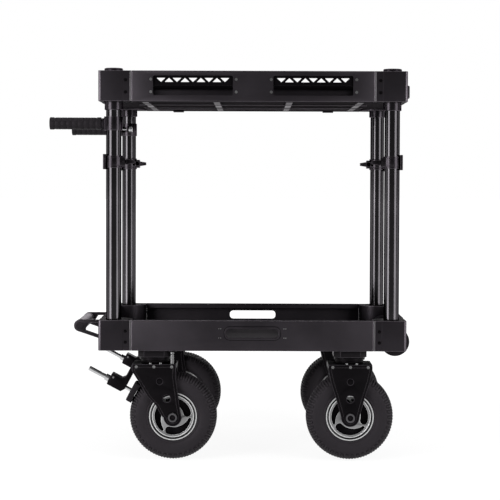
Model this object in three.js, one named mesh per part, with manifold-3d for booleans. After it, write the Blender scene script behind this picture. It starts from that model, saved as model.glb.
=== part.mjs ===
// A two-shelf camera cart: aluminium shelves on four round posts, two push handles
// on the left end, braked swivel casters under it and rigid casters under the right end.
// Millimetres, +Z up. X runs along the cart, the push handles are at -X, the front is at -Y.

import * as THREE from 'three';
import { mergeVertices } from 'three/addons/utils/BufferGeometryUtils.js';
import Module from 'manifold-3d';

const wasm = await Module();
wasm.setup();

// Clearance between touching pieces, and how far a cutter runs past what it cuts
const fitGap = 0.3;
const overrun = 2;

// Shelves
const frameLength = 889;
const frameWidth = 593;
const shelfSpace = 630;
const railHeight = 88;
const cornerLength = 96;
const cornerRadius = 7;
const sleeveWall = 4.2;
const sleeveLength = 20.5;

// Posts and their end caps
const postDiameter = 44.5;
const postWall = 3;
const postInset = 41.2;
const postFloor = 8;
const capOverhang = 4.2;
const capHeight = 8.5;
const capChamfer = 2.5;

// Side rails, and the folded ends of the decks
const railWall = 5;
const railFlange = 20;
const railFlangeThickness = 5;
const railLip = 14;
const railLipThickness = 3;
const railFoot = 24;
const railFootThickness = 5;
const deckThickness = 3;
const deckRibWidth = 20;
const deckRibHeight = 4;
const deckRibPlaceShares = [-0.355, -0.12, 0.12, 0.355];
const railPadLength = 34;
const railPadHeight = 4;
const railPadPlaceShares = [-0.274, 0.274];

// Windows of the upper front rail, and the lattice inserts behind them
const windowMargin = 61;
const windowGap = 116;
const windowHeight = 57;
const windowRise = 1.5;
const windowRadius = 6;
const latticeThickness = 4;
const latticeMargin = 15;
const latticeBand = 15;
const latticeChord = 4.5;
const latticeStrut = 9.4;
const latticeBays = 5;

// Hand slots of the lower rails
const slotLength = 156;
const slotHeight = 30.5;
const slotRise = 7.3;
const bezelWidth = 4.5;
const bezelProud = 1.5;

// Shelf clamps half way up the posts, with their levers
const shelfClampPlaceShare = 0.725;
const clampWall = 3;
const clampHeight = 35;
const clampPlateHeight = 44;
const clampPlateWidth = 40;
const clampPlateThickness = 7.5;
const clampPlateRadius = 5;
const clampSplit = 3;
const earHeight = 26;
const clampScrewRadius = 3;
const clampScrewWall = 2.6;
const leverHubRadius = 8;
const leverHubLength = 10;
const leverHubClearance = 2.4;
const leverLength = 30;
const leverThickness = 6;
const leverTipRadius = 4.5;

// Push handles on the left posts
const handlePlaceShare = 0.9;
const handleClampWall = 3;
const handleClampHeight = 40;
const handleBlockWall = 4.5;
const handleBlockWidth = 34;
const handleBarRadius = 10.7;
const gripRadius = 18;
const gripLength = 149;
const gripStandoff = 8.8;
const gripEnd = 6;
const gripRing = 12;
const gripRingDrop = 0.8;
const handleLugThickness = 5;
const handleLugMargin = 9;
const handleLugHeight = 22;
const handleLugGap = 17.6;
const thumbScrewRadius = 2.6;
const thumbHeadRadius = 9;
const thumbHeadLength = 12.5;
const thumbHeadClearance = 1;

// Lift bar low on the left end
const liftReach = 72.5;
const liftHeightShare = 0.63;
const liftRootShare = 0.139;
const liftEndRadius = 17.9;
const liftTubeRadius = 16.5;
const liftTubeWall = 3;
const liftDrainRadius = 3;
const liftSpacing = 248;
const liftPlate = 8;
const liftUpperArm = 9.5;
const liftLowerArm = 10.5;

// End handle on the right end of the upper shelf
const endHandleReach = 28.5;
const endHandleLength = 160;
const endHandleHeight = 39;
const endHandleThickness = 11;
const endHandleBevel = 3;
const endHandleDrop = 2;

// Loading rollers beside the lower right corners
const rollerRadius = 42.5;
const rollerWidth = 28;
const rollerInset = 24;
const rollerRise = 17.5;
const rollerBoltRadius = 7;
const rollerHeadRadius = 12;
const rollerHeadLength = 5;
const rollerClear = 3;
const rollerEdge = 6;

// Wheels
const wheelRadius = 127;
const tyreWidth = 80;
const tyreTread = 24;
const tyreWall = 7;
const rimRadius = 70;
const rimWidth = 66;
const rimLip = 6;
const rimFaceDepth = 4;
const rimHubRadius = 25;
const slotOuterInset = 12.4;
const slotFatWidth = 18;
const slotTipWidth = 2;
const slotCount = 3;
const slotStartDegrees = 13;
const slotSweepDegrees = 105;
const rightWheelTurnDegrees = -29.5;
const axleRadius = 8;
const axleHeadRadius = 14;
const axleHeadLength = 7;
const axleHeadChamfer = 2;

// Caster forks
const casterSetback = 161;
const casterInset = 55;
const casterTrail = 54;
const crownMargin = 6.6;
const crownThickness = 13.5;
const crownClearance = 13;
const forkGap = 6;
const forkPlate = 6;
const forkEyeRadius = 26;
const forkUpperHole = 16;
const forkLowerHole = 11;
const rigidSideShares = [[0.893, 1], [0.672, 0.8], [0.362, 0.4], [0.078, 0.08]];
const trailingLeftShares = [[0.873, 1], [0.39, 0.5], [0.234, 0.25], [0.02, 0.06]];
const trailingRightShares = [[0.778, 1.1], [0.452, 0.69], [0.219, 0.41]];
const forkUpperHoleShare = 0.677;
const forkLowerHoleShare = 0.353;
const forkUpperLeanShare = 0.7;
const forkLowerLeanShare = 0.32;

// Caster heads
const headHeight = 39.5;
const headBlockSide = 96;
const headBlockChamfer = 19;
const headBlockHeight = 19.5;
const bearingRadius = 47;
const bearingChamfer = 3;
const kingpinRadius = 10;
const kingpinNutRadius = 15;
const kingpinNutHeight = 6;
const lockPinRadius = 5.6;
const lockPinClearance = 1;
const lockPinTail = 5;
const lockPinChamfer = 1;
const lockPinAngleDegrees = -35;
const lockTabWidth = 24;
const lockTabMargin = 10;
const lockTabThickness = 4;

// Brakes on the swivel forks
const brakeAngleDegrees = 28;
const brakeOffset = 5;
const padClearance = 0.8;
const padThickness = 12;
const padHeight = 57;
const padWidth = 60;
const padRadius = 5.5;
const brakeArmThickness = 15;
const brakeArmLap = 12;
const brakeStep = 8;
const brakeBlockLength = 46.5;
const brakeBlockHeight = 37;
const brakeBlockWidth = 34;
const brakeBlockRise = 3;
const brakeRodRadius = 5.5;
const brakeStopRadius = 10;
const brakeStopLength = 12;
const brakeHandleRadius = 6.8;
const brakeHandleLength = 54;

// Facets of round shapes
const fineFacets = 24;
const roundFacets = 16;
const smallFacets = 10;
const arcSteps = 4;
const edgeSteps = 2;

// Heights and places that follow from the sizes above
const casterHeight = 2 * wheelRadius + crownClearance + crownThickness + headHeight;
const lowerShelf = casterHeight;
const upperShelf = lowerShelf + railHeight + shelfSpace;
const postRadius = postDiameter / 2;
const postX = frameLength / 2 - postInset;
const postY = frameWidth / 2 - postInset;
const deckLevel = railFootThickness + fitGap;
const wheelHalfTrack = frameWidth / 2 - casterInset;
const casterX = frameLength / 2 - casterSetback;
const crownTop = wheelRadius + crownClearance + crownThickness;
const forkInside = tyreWidth / 2 + forkGap;
const forkOutside = forkInside + forkPlate;
const facetStretch = 1 / Math.cos(Math.PI / fineFacets);
const windowLength = (frameLength - windowGap) / 2 - cornerLength - windowMargin;
const windowCentre = (windowGap + windowLength) / 2;
const windowBottom = (railHeight - windowHeight) / 2 + windowRise;

const finishes = {
  anodised: { color: 0x1b1b1d, roughness: 0.45, metalness: 0.6 },
  cast: { color: 0x161617, roughness: 0.6, metalness: 0.3 },
  rubber: { color: 0x111112, roughness: 0.85, metalness: 0 },
  silver: { color: 0xb9babd, roughness: 0.35, metalness: 0.9 },
  chrome: { color: 0xd6d7da, roughness: 0.15, metalness: 1 },
};

// Closed solid of a three.js geometry, with its faces pointing out
function solid(geometry) {
  const bare = geometry.clone();
  bare.deleteAttribute('normal');
  bare.deleteAttribute('uv');
  const merged = mergeVertices(bare);
  const index = merged.index.array;
  const points = merged.attributes.position;
  const [a, b, c] = [new THREE.Vector3(), new THREE.Vector3(), new THREE.Vector3()];
  const triangles = [];
  let volume = 0;
  for (let i = 0; i < index.length; i += 3) {
    const [p, q, r] = [index[i], index[i + 1], index[i + 2]];
    if (p === q || q === r || r === p) continue;
    triangles.push(p, q, r);
    a.fromBufferAttribute(points, p);
    b.fromBufferAttribute(points, q);
    c.fromBufferAttribute(points, r);
    volume += a.dot(b.cross(c));
  }
  if (volume < 0) triangles.reverse();
  return new wasm.Manifold(new wasm.Mesh({
    numProp: 3,
    vertProperties: new Float32Array(points.array),
    triVerts: new Uint32Array(triangles),
  }));
}

// Named mesh of a closed solid, in one of the finishes
function piece(name, body, finish) {
  const { vertProperties, triVerts } = body.getMesh();
  const geometry = new THREE.BufferGeometry();
  geometry.setAttribute('position', new THREE.BufferAttribute(vertProperties, 3));
  geometry.setIndex(new THREE.BufferAttribute(triVerts, 1));
  geometry.computeVertexNormals();
  const material = new THREE.MeshStandardMaterial({ ...finishes[finish], flatShading: true });
  const mesh = new THREE.Mesh(geometry, material);
  mesh.name = name;
  return mesh;
}

function join(...bodies) {
  return bodies.reduce((whole, body) => whole.add(body));
}

function cut(body, ...cutters) {
  return cutters.reduce((rest, cutter) => rest.subtract(cutter), body);
}

// Axes of a prism's outline and of its length, for a prism that runs along X, Y or Z
const alongX = new THREE.Matrix4().makeBasis(
  new THREE.Vector3(0, 1, 0),
  new THREE.Vector3(0, 0, 1),
  new THREE.Vector3(1, 0, 0),
);
const alongY = new THREE.Matrix4().makeBasis(
  new THREE.Vector3(1, 0, 0),
  new THREE.Vector3(0, 0, 1),
  new THREE.Vector3(0, -1, 0),
);

// Prisms over an outline: along X the outline is in (Y, Z), along Y in (X, Z), along Z in (X, Y)
function prismZ(outline, low, high) {
  const geometry = new THREE.ExtrudeGeometry(new THREE.Shape(outline), {
    depth: high - low,
    bevelEnabled: false,
    curveSegments: arcSteps,
  });
  return solid(geometry.translate(0, 0, low));
}

function prismX(outline, low, high) {
  const geometry = new THREE.ExtrudeGeometry(new THREE.Shape(outline), {
    depth: high - low,
    bevelEnabled: false,
  });
  return solid(geometry.applyMatrix4(alongX).translate(low, 0, 0));
}

function prismY(outline, low, high) {
  const geometry = new THREE.ExtrudeGeometry(new THREE.Shape(outline), {
    depth: high - low,
    bevelEnabled: false,
  });
  return solid(geometry.applyMatrix4(alongY).translate(0, high, 0));
}

function block([x0, x1], [y0, y1], [z0, z1]) {
  const geometry = new THREE.BoxGeometry(x1 - x0, y1 - y0, z1 - z0);
  return solid(geometry.translate((x0 + x1) / 2, (y0 + y1) / 2, (z0 + z1) / 2));
}

// Solids of revolution about Z, X or Y, from a profile of [radius, height] pairs
function turned(profile, axis, facets = roundFacets) {
  const points = profile.map(([radius, height]) => new THREE.Vector2(radius, height));
  const geometry = new THREE.LatheGeometry(points, facets, Math.PI / facets);
  if (axis === 'z') geometry.rotateX(Math.PI / 2);
  if (axis === 'x') geometry.rotateZ(-Math.PI / 2);
  return solid(geometry);
}

function rod(radius, low, high, axis, facets = roundFacets) {
  return turned([[0, low], [radius, low], [radius, high], [0, high]], axis, facets);
}

function tube(inner, outer, low, high, axis, facets = roundFacets) {
  const ring = [[inner, low], [outer, low], [outer, high], [inner, high], [inner, low]];
  return turned(ring, axis, facets);
}

// Radius of a faceted bore that a faceted pin can turn in
function turningBore(radius, facets) {
  return (radius + fitGap) / Math.cos(Math.PI / facets);
}

function disc(x, y, radius, facets) {
  const turns = Array.from({ length: facets }, (_, i) => (2 * Math.PI * (i + 0.5)) / facets);
  return turns.map((turn) => new THREE.Vector2(x + radius * Math.cos(turn), y + radius * Math.sin(turn)));
}

// Outline of a rectangle whose corners are arcs
function roundedRectangle([x0, x1], [y0, y1], radius, steps = edgeSteps) {
  const r = Math.min(radius, (x1 - x0) / 2, (y1 - y0) / 2);
  const centres = [[x1 - r, y1 - r], [x0 + r, y1 - r], [x0 + r, y0 + r], [x1 - r, y0 + r]];
  return centres.flatMap(([x, y], quarter) => Array.from({ length: steps + 1 }, (_, i) => {
    const turn = (Math.PI / 2) * (quarter + i / steps);
    return new THREE.Vector2(x + r * Math.cos(turn), y + r * Math.sin(turn));
  }));
}

function ordered(a, b) {
  return a < b ? [a, b] : [b, a];
}

function pointsOf(pairs) {
  return pairs.map(([x, y]) => new THREE.Vector2(x, y));
}

// Ends and sides of the cart, as signs along X and Y
const ends = { left: -1, right: 1 };
const sides = { front: -1, back: 1 };

// Plan of a corner casting round the post's axis, grown on all sides: outer faces square,
// inner corner round
function cornerPlan(endSign, sideSign, growth) {
  const inner = cornerLength - postInset + growth;
  const outer = postInset + growth;
  const centre = outer - cornerRadius;
  const points = [new THREE.Vector2(-inner, outer)];
  for (let i = 0; i <= edgeSteps; i += 1) {
    const turn = (Math.PI / 2) * (1 - i / edgeSteps);
    points.push(new THREE.Vector2(
      centre + cornerRadius * Math.cos(turn),
      centre + cornerRadius * Math.sin(turn),
    ));
  }
  points.push(new THREE.Vector2(outer, -inner));
  for (let i = 0; i <= arcSteps; i += 1) {
    const turn = (-Math.PI / 2) * (1 + i / arcSteps);
    points.push(new THREE.Vector2(inner * Math.cos(turn), inner * Math.sin(turn)));
  }
  return points.map((point) => new THREE.Vector2(point.x * endSign, point.y * sideSign));
}

function upperCorner(endSign, sideSign) {
  const bore = postRadius + fitGap;
  const casting = prismZ(cornerPlan(endSign, sideSign, 0), 0, railHeight);
  const sleeve = rod(postRadius + sleeveWall, -sleeveLength, railHeight / 2, 'z');
  const cutter = rod(bore, -sleeveLength - overrun, railHeight + overrun, 'z');
  return cut(join(casting, sleeve), cutter);
}

function lowerCorner(endSign, sideSign) {
  const casting = prismZ(cornerPlan(endSign, sideSign, 0), 0, railHeight);
  const socket = cut(casting, rod(postRadius + fitGap, postFloor, railHeight + overrun, 'z'));
  if (endSign !== ends.right) return socket;
  return join(socket, rollerBolt(endSign, sideSign));
}

// Shoulder bolt that carries a loading roller, out of the casting's inward side
function rollerBolt(endSign, sideSign) {
  const face = cornerLength - postInset;
  const root = face - overrun;
  const shoulder = face + rollerWidth + 2 * fitGap;
  const head = shoulder + rollerHeadLength;
  const profile = [
    [0, root],
    [rollerBoltRadius, root],
    [rollerBoltRadius, shoulder],
    [rollerHeadRadius, shoulder],
    [rollerHeadRadius, head],
    [0, head],
  ];
  const bolt = turned(profile.map(([r, y]) => [r, -sideSign * y]), 'y', smallFacets);
  return bolt.translate([rollerPlace() * endSign, 0, rollerRise]);
}

// Distance of the roller's axis from the post's axis, towards the end
function rollerPlace() {
  return postInset - rollerInset;
}

function loadingRoller() {
  const bore = turningBore(rollerBoltRadius, roundFacets);
  const half = rollerWidth / 2;
  const profile = [
    [bore, -half],
    [rollerRadius - rollerEdge, -half],
    [rollerRadius - rollerEdge / 3, -half + rollerEdge / 3],
    [rollerRadius, -half + rollerEdge],
    [rollerRadius, half - rollerEdge],
    [rollerRadius - rollerEdge / 3, half - rollerEdge / 3],
    [rollerRadius - rollerEdge, half],
    [bore, half],
    [bore, -half],
  ];
  return turned(profile, 'y');
}

// Tube closed by a wider cap at the top
function post() {
  const low = lowerShelf + postFloor + fitGap;
  const seat = upperShelf + railHeight + fitGap;
  const top = seat + capHeight;
  const capRadius = postRadius + capOverhang;
  const profile = [
    [0, seat],
    [postRadius - postWall, seat],
    [postRadius - postWall, low],
    [postRadius, low],
    [postRadius, seat],
    [capRadius, seat],
    [capRadius, top - capChamfer],
    [capRadius - capChamfer, top],
    [0, top],
  ];
  return turned(profile, 'z');
}

// Section of a rail: wall, top flange with a lip, and foot. Depth 0 is the outer face.
function railSection() {
  const top = railHeight;
  const neck = railHeight - railFlangeThickness;
  return [
    [0, 0],
    [railFoot, 0],
    [railFoot, railFootThickness],
    [railWall, railFootThickness],
    [railWall, neck],
    [railFlange - railLipThickness, neck],
    [railFlange - railLipThickness, top - railLip],
    [railFlange, top - railLip],
    [railFlange, top],
    [0, top],
  ];
}

// Side rail along X with its outer face on the front or the back of the frame
function sideRail(sideSign) {
  const half = frameLength / 2 - cornerLength - fitGap;
  const face = frameWidth / 2;
  const section = railSection().map(([depth, height]) => [sideSign * (face - depth), height]);
  return prismX(pointsOf(section), -half, half);
}

function windowOutline(centre) {
  return roundedRectangle(
    [centre - windowLength / 2, centre + windowLength / 2],
    [windowBottom, windowBottom + windowHeight],
    windowRadius,
  );
}

// Range across the thickness of a rail's wall, with the overrun on both sides
function wallRange(sideSign) {
  const face = frameWidth / 2;
  return ordered(sideSign * (face - railWall - overrun), sideSign * (face + bezelProud + overrun));
}

function upperFrontRail() {
  const reach = wallRange(sides.front);
  const cutters = [-windowCentre, windowCentre].map((x) => prismY(windowOutline(x), ...reach));
  return cut(sideRail(sides.front), ...cutters);
}

function upperBackRail() {
  const face = frameWidth / 2;
  const pads = railPadPlaceShares.map((share) => {
    const centre = share * frameLength;
    const reach = [centre - railPadLength / 2, centre + railPadLength / 2];
    return block(reach, [face - railFoot, face - railWall], [-railPadHeight, railFootThickness]);
  });
  return join(sideRail(sides.back), ...pads);
}

// Rounded outline of the hand slot, grown on all sides
function handSlot(growth) {
  const rise = railHeight / 2 + slotRise;
  const halfLength = slotLength / 2 + growth;
  const halfHeight = slotHeight / 2 + growth;
  const levels = [rise - halfHeight, rise + halfHeight];
  return roundedRectangle([-halfLength, halfLength], levels, halfHeight, arcSteps);
}

function lowerRail(sideSign) {
  const proud = sideSign * (frameWidth / 2 + bezelProud);
  const inside = sideSign * (frameWidth / 2 - railWall / 2);
  const bezel = prismY(handSlot(bezelWidth), ...ordered(proud, inside));
  return cut(join(sideRail(sideSign), bezel), prismY(handSlot(0), ...wallRange(sideSign)));
}

// Plate behind a window with a row of triangles along its top and a wide opening below them
function windowLattice(centre) {
  const half = windowLength / 2;
  const bandTop = windowBottom + windowHeight - latticeChord;
  const bandBottom = bandTop - latticeBand;
  const bay = windowLength / latticeBays;
  const base = bay - 2 * latticeStrut;
  const back = -frameWidth / 2 + railWall + fitGap;
  const reach = [back - overrun, back + latticeThickness + overrun];
  const plate = block(
    [centre - half - latticeMargin, centre + half + latticeMargin],
    [back, back + latticeThickness],
    [railFootThickness + deckThickness + 2 * fitGap, railHeight - railFlangeThickness - fitGap],
  );
  const opening = roundedRectangle(
    [centre - half, centre + half],
    [windowBottom, bandBottom - latticeChord],
    windowRadius,
  );
  const cutters = [prismY(opening, ...reach)];
  for (let i = 0; i < latticeBays; i += 1) {
    const middle = centre - half + (i + 0.5) * bay;
    const pointingDown = [[middle - base / 2, bandTop], [middle, bandBottom], [middle + base / 2, bandTop]];
    cutters.push(prismY(pointsOf(pointingDown), ...reach));
  }
  for (let i = 1; i < latticeBays; i += 1) {
    const middle = centre - half + i * bay;
    const pointingUp = [[middle - base / 2, bandBottom], [middle, bandTop], [middle + base / 2, bandBottom]];
    cutters.push(prismY(pointsOf(pointingUp), ...reach));
  }
  return cut(plate, ...cutters);
}

// Floor of a shelf with both its ends folded up, between the corner castings and side rails
function deck() {
  const endHalf = frameWidth / 2 - cornerLength - fitGap;
  const sideHalf = frameWidth / 2 - railWall - fitGap;
  const face = frameLength / 2;
  const levels = [deckLevel, deckLevel + deckThickness];
  const sheet = block([-face + railWall / 2, face - railWall / 2], [-sideHalf, sideHalf], levels);
  const floor = cut(sheet, ...Object.values(ends).flatMap((endSign) => Object.values(sides)
    .map((sideSign) => cornerNotch(endSign, sideSign))));
  const endWalls = Object.values(ends).map((sign) => {
    const section = railSection().map(([depth, height]) => [sign * (face - depth), height]);
    return prismY(pointsOf(section), -endHalf, endHalf);
  });
  return join(floor, ...endWalls);
}

// Cutter that clears a corner casting out of a deck's floor
function cornerNotch(endSign, sideSign) {
  const levels = [deckLevel - overrun, deckLevel + deckThickness + overrun];
  const notch = prismZ(cornerPlan(endSign, sideSign, fitGap), ...levels);
  return notch.translate([endSign * postX, sideSign * postY, 0]);
}

function upperDeck() {
  const sideHalf = frameWidth / 2 - railFoot - fitGap;
  const under = [deckLevel - deckRibHeight, deckLevel + deckThickness / 2];
  const ribs = deckRibPlaceShares.map((share) => {
    const centre = share * frameLength;
    return block([centre - deckRibWidth / 2, centre + deckRibWidth / 2], [-sideHalf, sideHalf], under);
  });
  const spineHalf = frameLength / 2 - cornerLength;
  const spine = block([-spineHalf, spineHalf], [-deckRibWidth / 2, deckRibWidth / 2], under);
  return join(deck(), spine, ...ribs);
}

// Lower deck with a pad down to each caster and a well for each loading roller
function lowerDeck() {
  const padHalf = headBlockSide / 2;
  const padOutside = frameWidth / 2 - railFoot - fitGap;
  const padInside = wheelHalfTrack - headBlockSide / 2;
  const wells = [];
  const pads = [];
  for (const sideSign of Object.values(sides)) {
    for (const endSign of Object.values(ends)) {
      const x = endSign * casterX;
      const y = ordered(sideSign * padInside, sideSign * padOutside);
      pads.push(block([x - padHalf, x + padHalf], y, [0, deckLevel + deckThickness / 2]));
    }
    const wall = frameWidth / 2 - cornerLength;
    const inside = wall - rollerWidth - rollerHeadLength - rollerClear;
    const reach = ordered(sideSign * (wall + overrun), sideSign * inside);
    const well = rod(rollerRadius + rollerClear, ...reach, 'y');
    wells.push(well.translate([frameLength / 2 - rollerInset, 0, rollerRise]));
  }
  return cut(join(deck(), ...pads), ...wells);
}

// Split collar with an outward plate and two ears towards the middle of the cart
function shelfClamp(endSign) {
  const outer = postRadius + clampWall;
  const half = clampHeight / 2;
  const plateHalf = clampPlateHeight / 2;
  const plateReach = ordered(endSign * postRadius, endSign * (postRadius + clampPlateThickness));
  const plateOutline = roundedRectangle(
    [-clampPlateWidth / 2, clampPlateWidth / 2],
    [-plateHalf, plateHalf],
    clampPlateRadius,
  );
  const plate = prismX(plateOutline, ...plateReach);
  const hole = turningBore(clampScrewRadius, smallFacets);
  const earEnd = clampScrewPlace() + hole + clampScrewWall;
  const side = earSide();
  const ears = block(ordered(0, -endSign * earEnd), [-side, side], [-earHeight / 2, earHeight / 2]);
  const splitReach = ordered(0, -endSign * (earEnd + overrun));
  const split = block(splitReach, [-clampSplit / 2, clampSplit / 2], [-plateHalf, plateHalf]);
  const bore = rod(postRadius + fitGap, -plateHalf - overrun, plateHalf + overrun, 'z');
  const screwHole = rod(hole, -side - overrun, side + overrun, 'y', smallFacets)
    .translate([-endSign * clampScrewPlace(), 0, 0]);
  return cut(join(rod(outer, -half, half, 'z'), plate, ears), bore, split, screwHole);
}

// Distance of the clamp screw from the post's axis, close beside the collar's bore
function clampScrewPlace() {
  return postRadius + fitGap + clampScrewWall + turningBore(clampScrewRadius, smallFacets);
}

// Outer side of an ear, so far out that the lever's hub clears the collar and the sleeve above
function earSide() {
  const near = clampScrewPlace() - leverHubRadius;
  return Math.sqrt((postRadius + clampWall) ** 2 - near ** 2) + leverHubClearance;
}

// Lever: screw through the ears, round hub beside them, and an arm that tapers inboard
function clampLever(endSign, sideSign) {
  const start = earSide() + fitGap;
  const end = start + leverHubLength;
  const place = (y) => -sideSign * y;
  const screw = rod(clampScrewRadius, ...ordered(place(-start), place(start + overrun)), 'y', smallFacets);
  const hub = rod(leverHubRadius, ...ordered(place(start), place(end)), 'y', smallFacets);
  const reach = -endSign * (leverLength - leverTipRadius);
  const arm = pointsOf([
    [0, leverHubRadius - leverTipRadius / 2],
    [reach, leverTipRadius],
    [reach - endSign * leverTipRadius, 0],
    [reach, -leverTipRadius],
    [0, -leverHubRadius + leverTipRadius / 2],
  ]);
  return join(screw, hub, prismY(arm, ...ordered(place(end - leverThickness), place(end))));
}

// Push handle clamp: collar with a square outboard side, the stub bar, and two lugs inward
function handleClamp(sideSign) {
  const outer = postRadius + handleClampWall;
  const half = handleClampHeight / 2;
  const halfWidth = handleBlockWidth / 2;
  const collar = rod(outer, -half, half, 'z');
  const outboard = block([-postRadius - handleBlockWall, 0], [-halfWidth, halfWidth], [-half, half]);
  const barEnd = gripNear() - gripLength + gripEnd;
  const bar = rod(handleBarRadius, barEnd, -postRadius, 'x', smallFacets);
  const lugEnd = thumbScrewPlace() + handleLugMargin;
  const lugY = ordered(0, -sideSign * lugEnd);
  const lugs = handleLugs().map((reach) => block(reach, lugY, [-handleLugHeight / 2, handleLugHeight / 2]));
  const bore = rod(postRadius + fitGap, -half - overrun, half + overrun, 'z');
  const throat = ordered(0, -sideSign * (lugEnd + overrun));
  const split = block([handleLugs()[0][1], handleLugs()[1][0]], throat, [-half - overrun, half + overrun]);
  const hole = turningBore(thumbScrewRadius, smallFacets);
  const screwHole = rod(hole, handleLugs()[0][0] - overrun, handleLugs()[1][1] + overrun, 'x', smallFacets)
    .translate([0, -sideSign * thumbScrewPlace(), 0]);
  return cut(join(collar, outboard, bar, ...lugs), bore, split, screwHole);
}

// Ranges along X of the two lugs that the thumb screw draws together
function handleLugs() {
  const start = -postRadius - handleBlockWall;
  const near = start + handleLugThickness;
  const far = near + handleLugGap;
  return [[start, near], [far, far + handleLugThickness]];
}

// Distance of the thumb screw from the post's axis, where its head clears the collar
function thumbScrewPlace() {
  return postRadius + handleClampWall + thumbHeadClearance + thumbHeadRadius;
}

function thumbScrew() {
  const [threaded, pulled] = handleLugs();
  const seat = pulled[1] + fitGap;
  const profile = [
    [0, threaded[0]],
    [thumbScrewRadius, threaded[0]],
    [thumbScrewRadius, seat],
    [thumbHeadRadius, seat],
    [thumbHeadRadius, seat + thumbHeadLength],
    [0, seat + thumbHeadLength],
  ];
  return turned(profile, 'x', smallFacets);
}

// Place of a grip's inner end along X, from the post's axis
function gripNear() {
  return -(postRadius + handleBlockWall + gripStandoff);
}

// Rubber grip, a sleeve closed at its outer end, with a ring at each end
function handleGrip() {
  const near = gripNear();
  const far = near - gripLength;
  const bore = handleBarRadius + fitGap;
  const body = gripRadius - gripRingDrop;
  const blind = far + gripEnd - fitGap;
  const profile = [
    [0, far],
    [gripRadius - gripRingDrop, far],
    [gripRadius, far + gripRingDrop],
    [gripRadius, far + gripRing],
    [body, far + gripRing + gripRingDrop],
    [body, near - gripRing - gripRingDrop],
    [gripRadius, near - gripRing],
    [gripRadius, near],
    [bore, near],
    [bore, blind],
    [0, blind],
  ];
  return turned(profile, 'x');
}

// Side view of a lift bar bracket: round outer end, level upper arm, sloping lower arm
function liftBracket(y) {
  const face = -frameLength / 2 - fitGap;
  const x = face - liftReach;
  const z = liftHeightShare * railHeight;
  const root = liftRootShare * railHeight;
  const slope = Math.atan2(z - liftEndRadius - root, liftReach);
  const outline = [new THREE.Vector2(face, z + liftEndRadius)];
  for (let i = 0; i <= 2 * arcSteps; i += 1) {
    const turn = Math.PI / 2 + (Math.PI - slope) * (i / (2 * arcSteps));
    outline.push(new THREE.Vector2(x + liftEndRadius * Math.cos(turn), z + liftEndRadius * Math.sin(turn)));
  }
  outline.push(new THREE.Vector2(face, root));
  const armTop = z + liftEndRadius - liftUpperArm;
  const inside = face - liftUpperArm;
  const lowerEdge = (place) => root + liftLowerArm / Math.cos(slope) + (face - place) * Math.tan(slope);
  const start = x + liftEndRadius;
  const hole = pointsOf([
    [inside, armTop],
    [start + liftLowerArm, armTop],
    [start, lowerEdge(start) + liftUpperArm / 2],
    [start, lowerEdge(start)],
    [inside, lowerEdge(inside)],
  ]);
  const reach = [y - liftPlate / 2, y + liftPlate / 2];
  const cutter = prismY(hole, reach[0] - overrun, reach[1] + overrun);
  return cut(prismY(outline, ...reach), cutter);
}

function liftBar() {
  const half = liftSpacing / 2;
  const bar = tube(liftTubeRadius - liftTubeWall, liftTubeRadius, -half, half, 'y');
  const drain = rod(liftDrainRadius, -liftTubeRadius - overrun, 0, 'z', smallFacets);
  const place = [-frameLength / 2 - fitGap - liftReach, 0, liftHeightShare * railHeight];
  return join(liftBracket(-half), liftBracket(half), cut(bar, drain).translate(place));
}

// Bow handle on the right end wall
function endHandle() {
  const half = endHandleLength / 2;
  const reach = endHandleReach;
  const foot = endHandleThickness;
  const outer = [
    [0, -half],
    [reach - foot, -half],
    [reach, -half + foot],
    [reach, half - foot],
    [reach - foot, half],
    [0, half],
  ];
  const inner = [
    [0, half - foot],
    [reach - foot, half - foot],
    [reach - foot, -half + foot],
    [0, -half + foot],
  ];
  const shape = new THREE.Shape(pointsOf([...outer, ...inner]));
  const geometry = new THREE.ExtrudeGeometry(shape, {
    depth: endHandleHeight - 2 * endHandleBevel,
    bevelThickness: endHandleBevel,
    bevelSize: endHandleBevel,
    bevelOffset: -endHandleBevel,
    bevelSegments: 2,
  });
  const lift = (railHeight - endHandleHeight) / 2 + endHandleBevel - endHandleDrop;
  return solid(geometry.translate(frameLength / 2 + fitGap, 0, lift));
}

// Wheel parts turn about Y; facets line up so that the wheel stands on a flat
function tyre() {
  const bead = rimRadius + fitGap;
  const half = tyreWidth / 2;
  const beadHalf = rimWidth / 2 - fitGap;
  const middle = (bead + wheelRadius) / 2;
  const shoulder = (middle + wheelRadius) / 2;
  const tread = tyreTread / 2;
  const outside = [
    [bead, beadHalf],
    [middle, half],
    [shoulder, half - tyreWall / 2],
    [wheelRadius * facetStretch, tread],
  ];
  const inside = [
    [wheelRadius - tyreWall, tread],
    [middle, half - tyreWall],
    [bead, beadHalf - tyreWall],
  ];
  const mirrored = (points) => points.map(([r, y]) => [r, -y]).reverse();
  const profile = [...outside, ...mirrored(outside), ...mirrored(inside).reverse(), ...inside];
  return turned([...profile, profile[0]], 'y', fineFacets);
}

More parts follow.
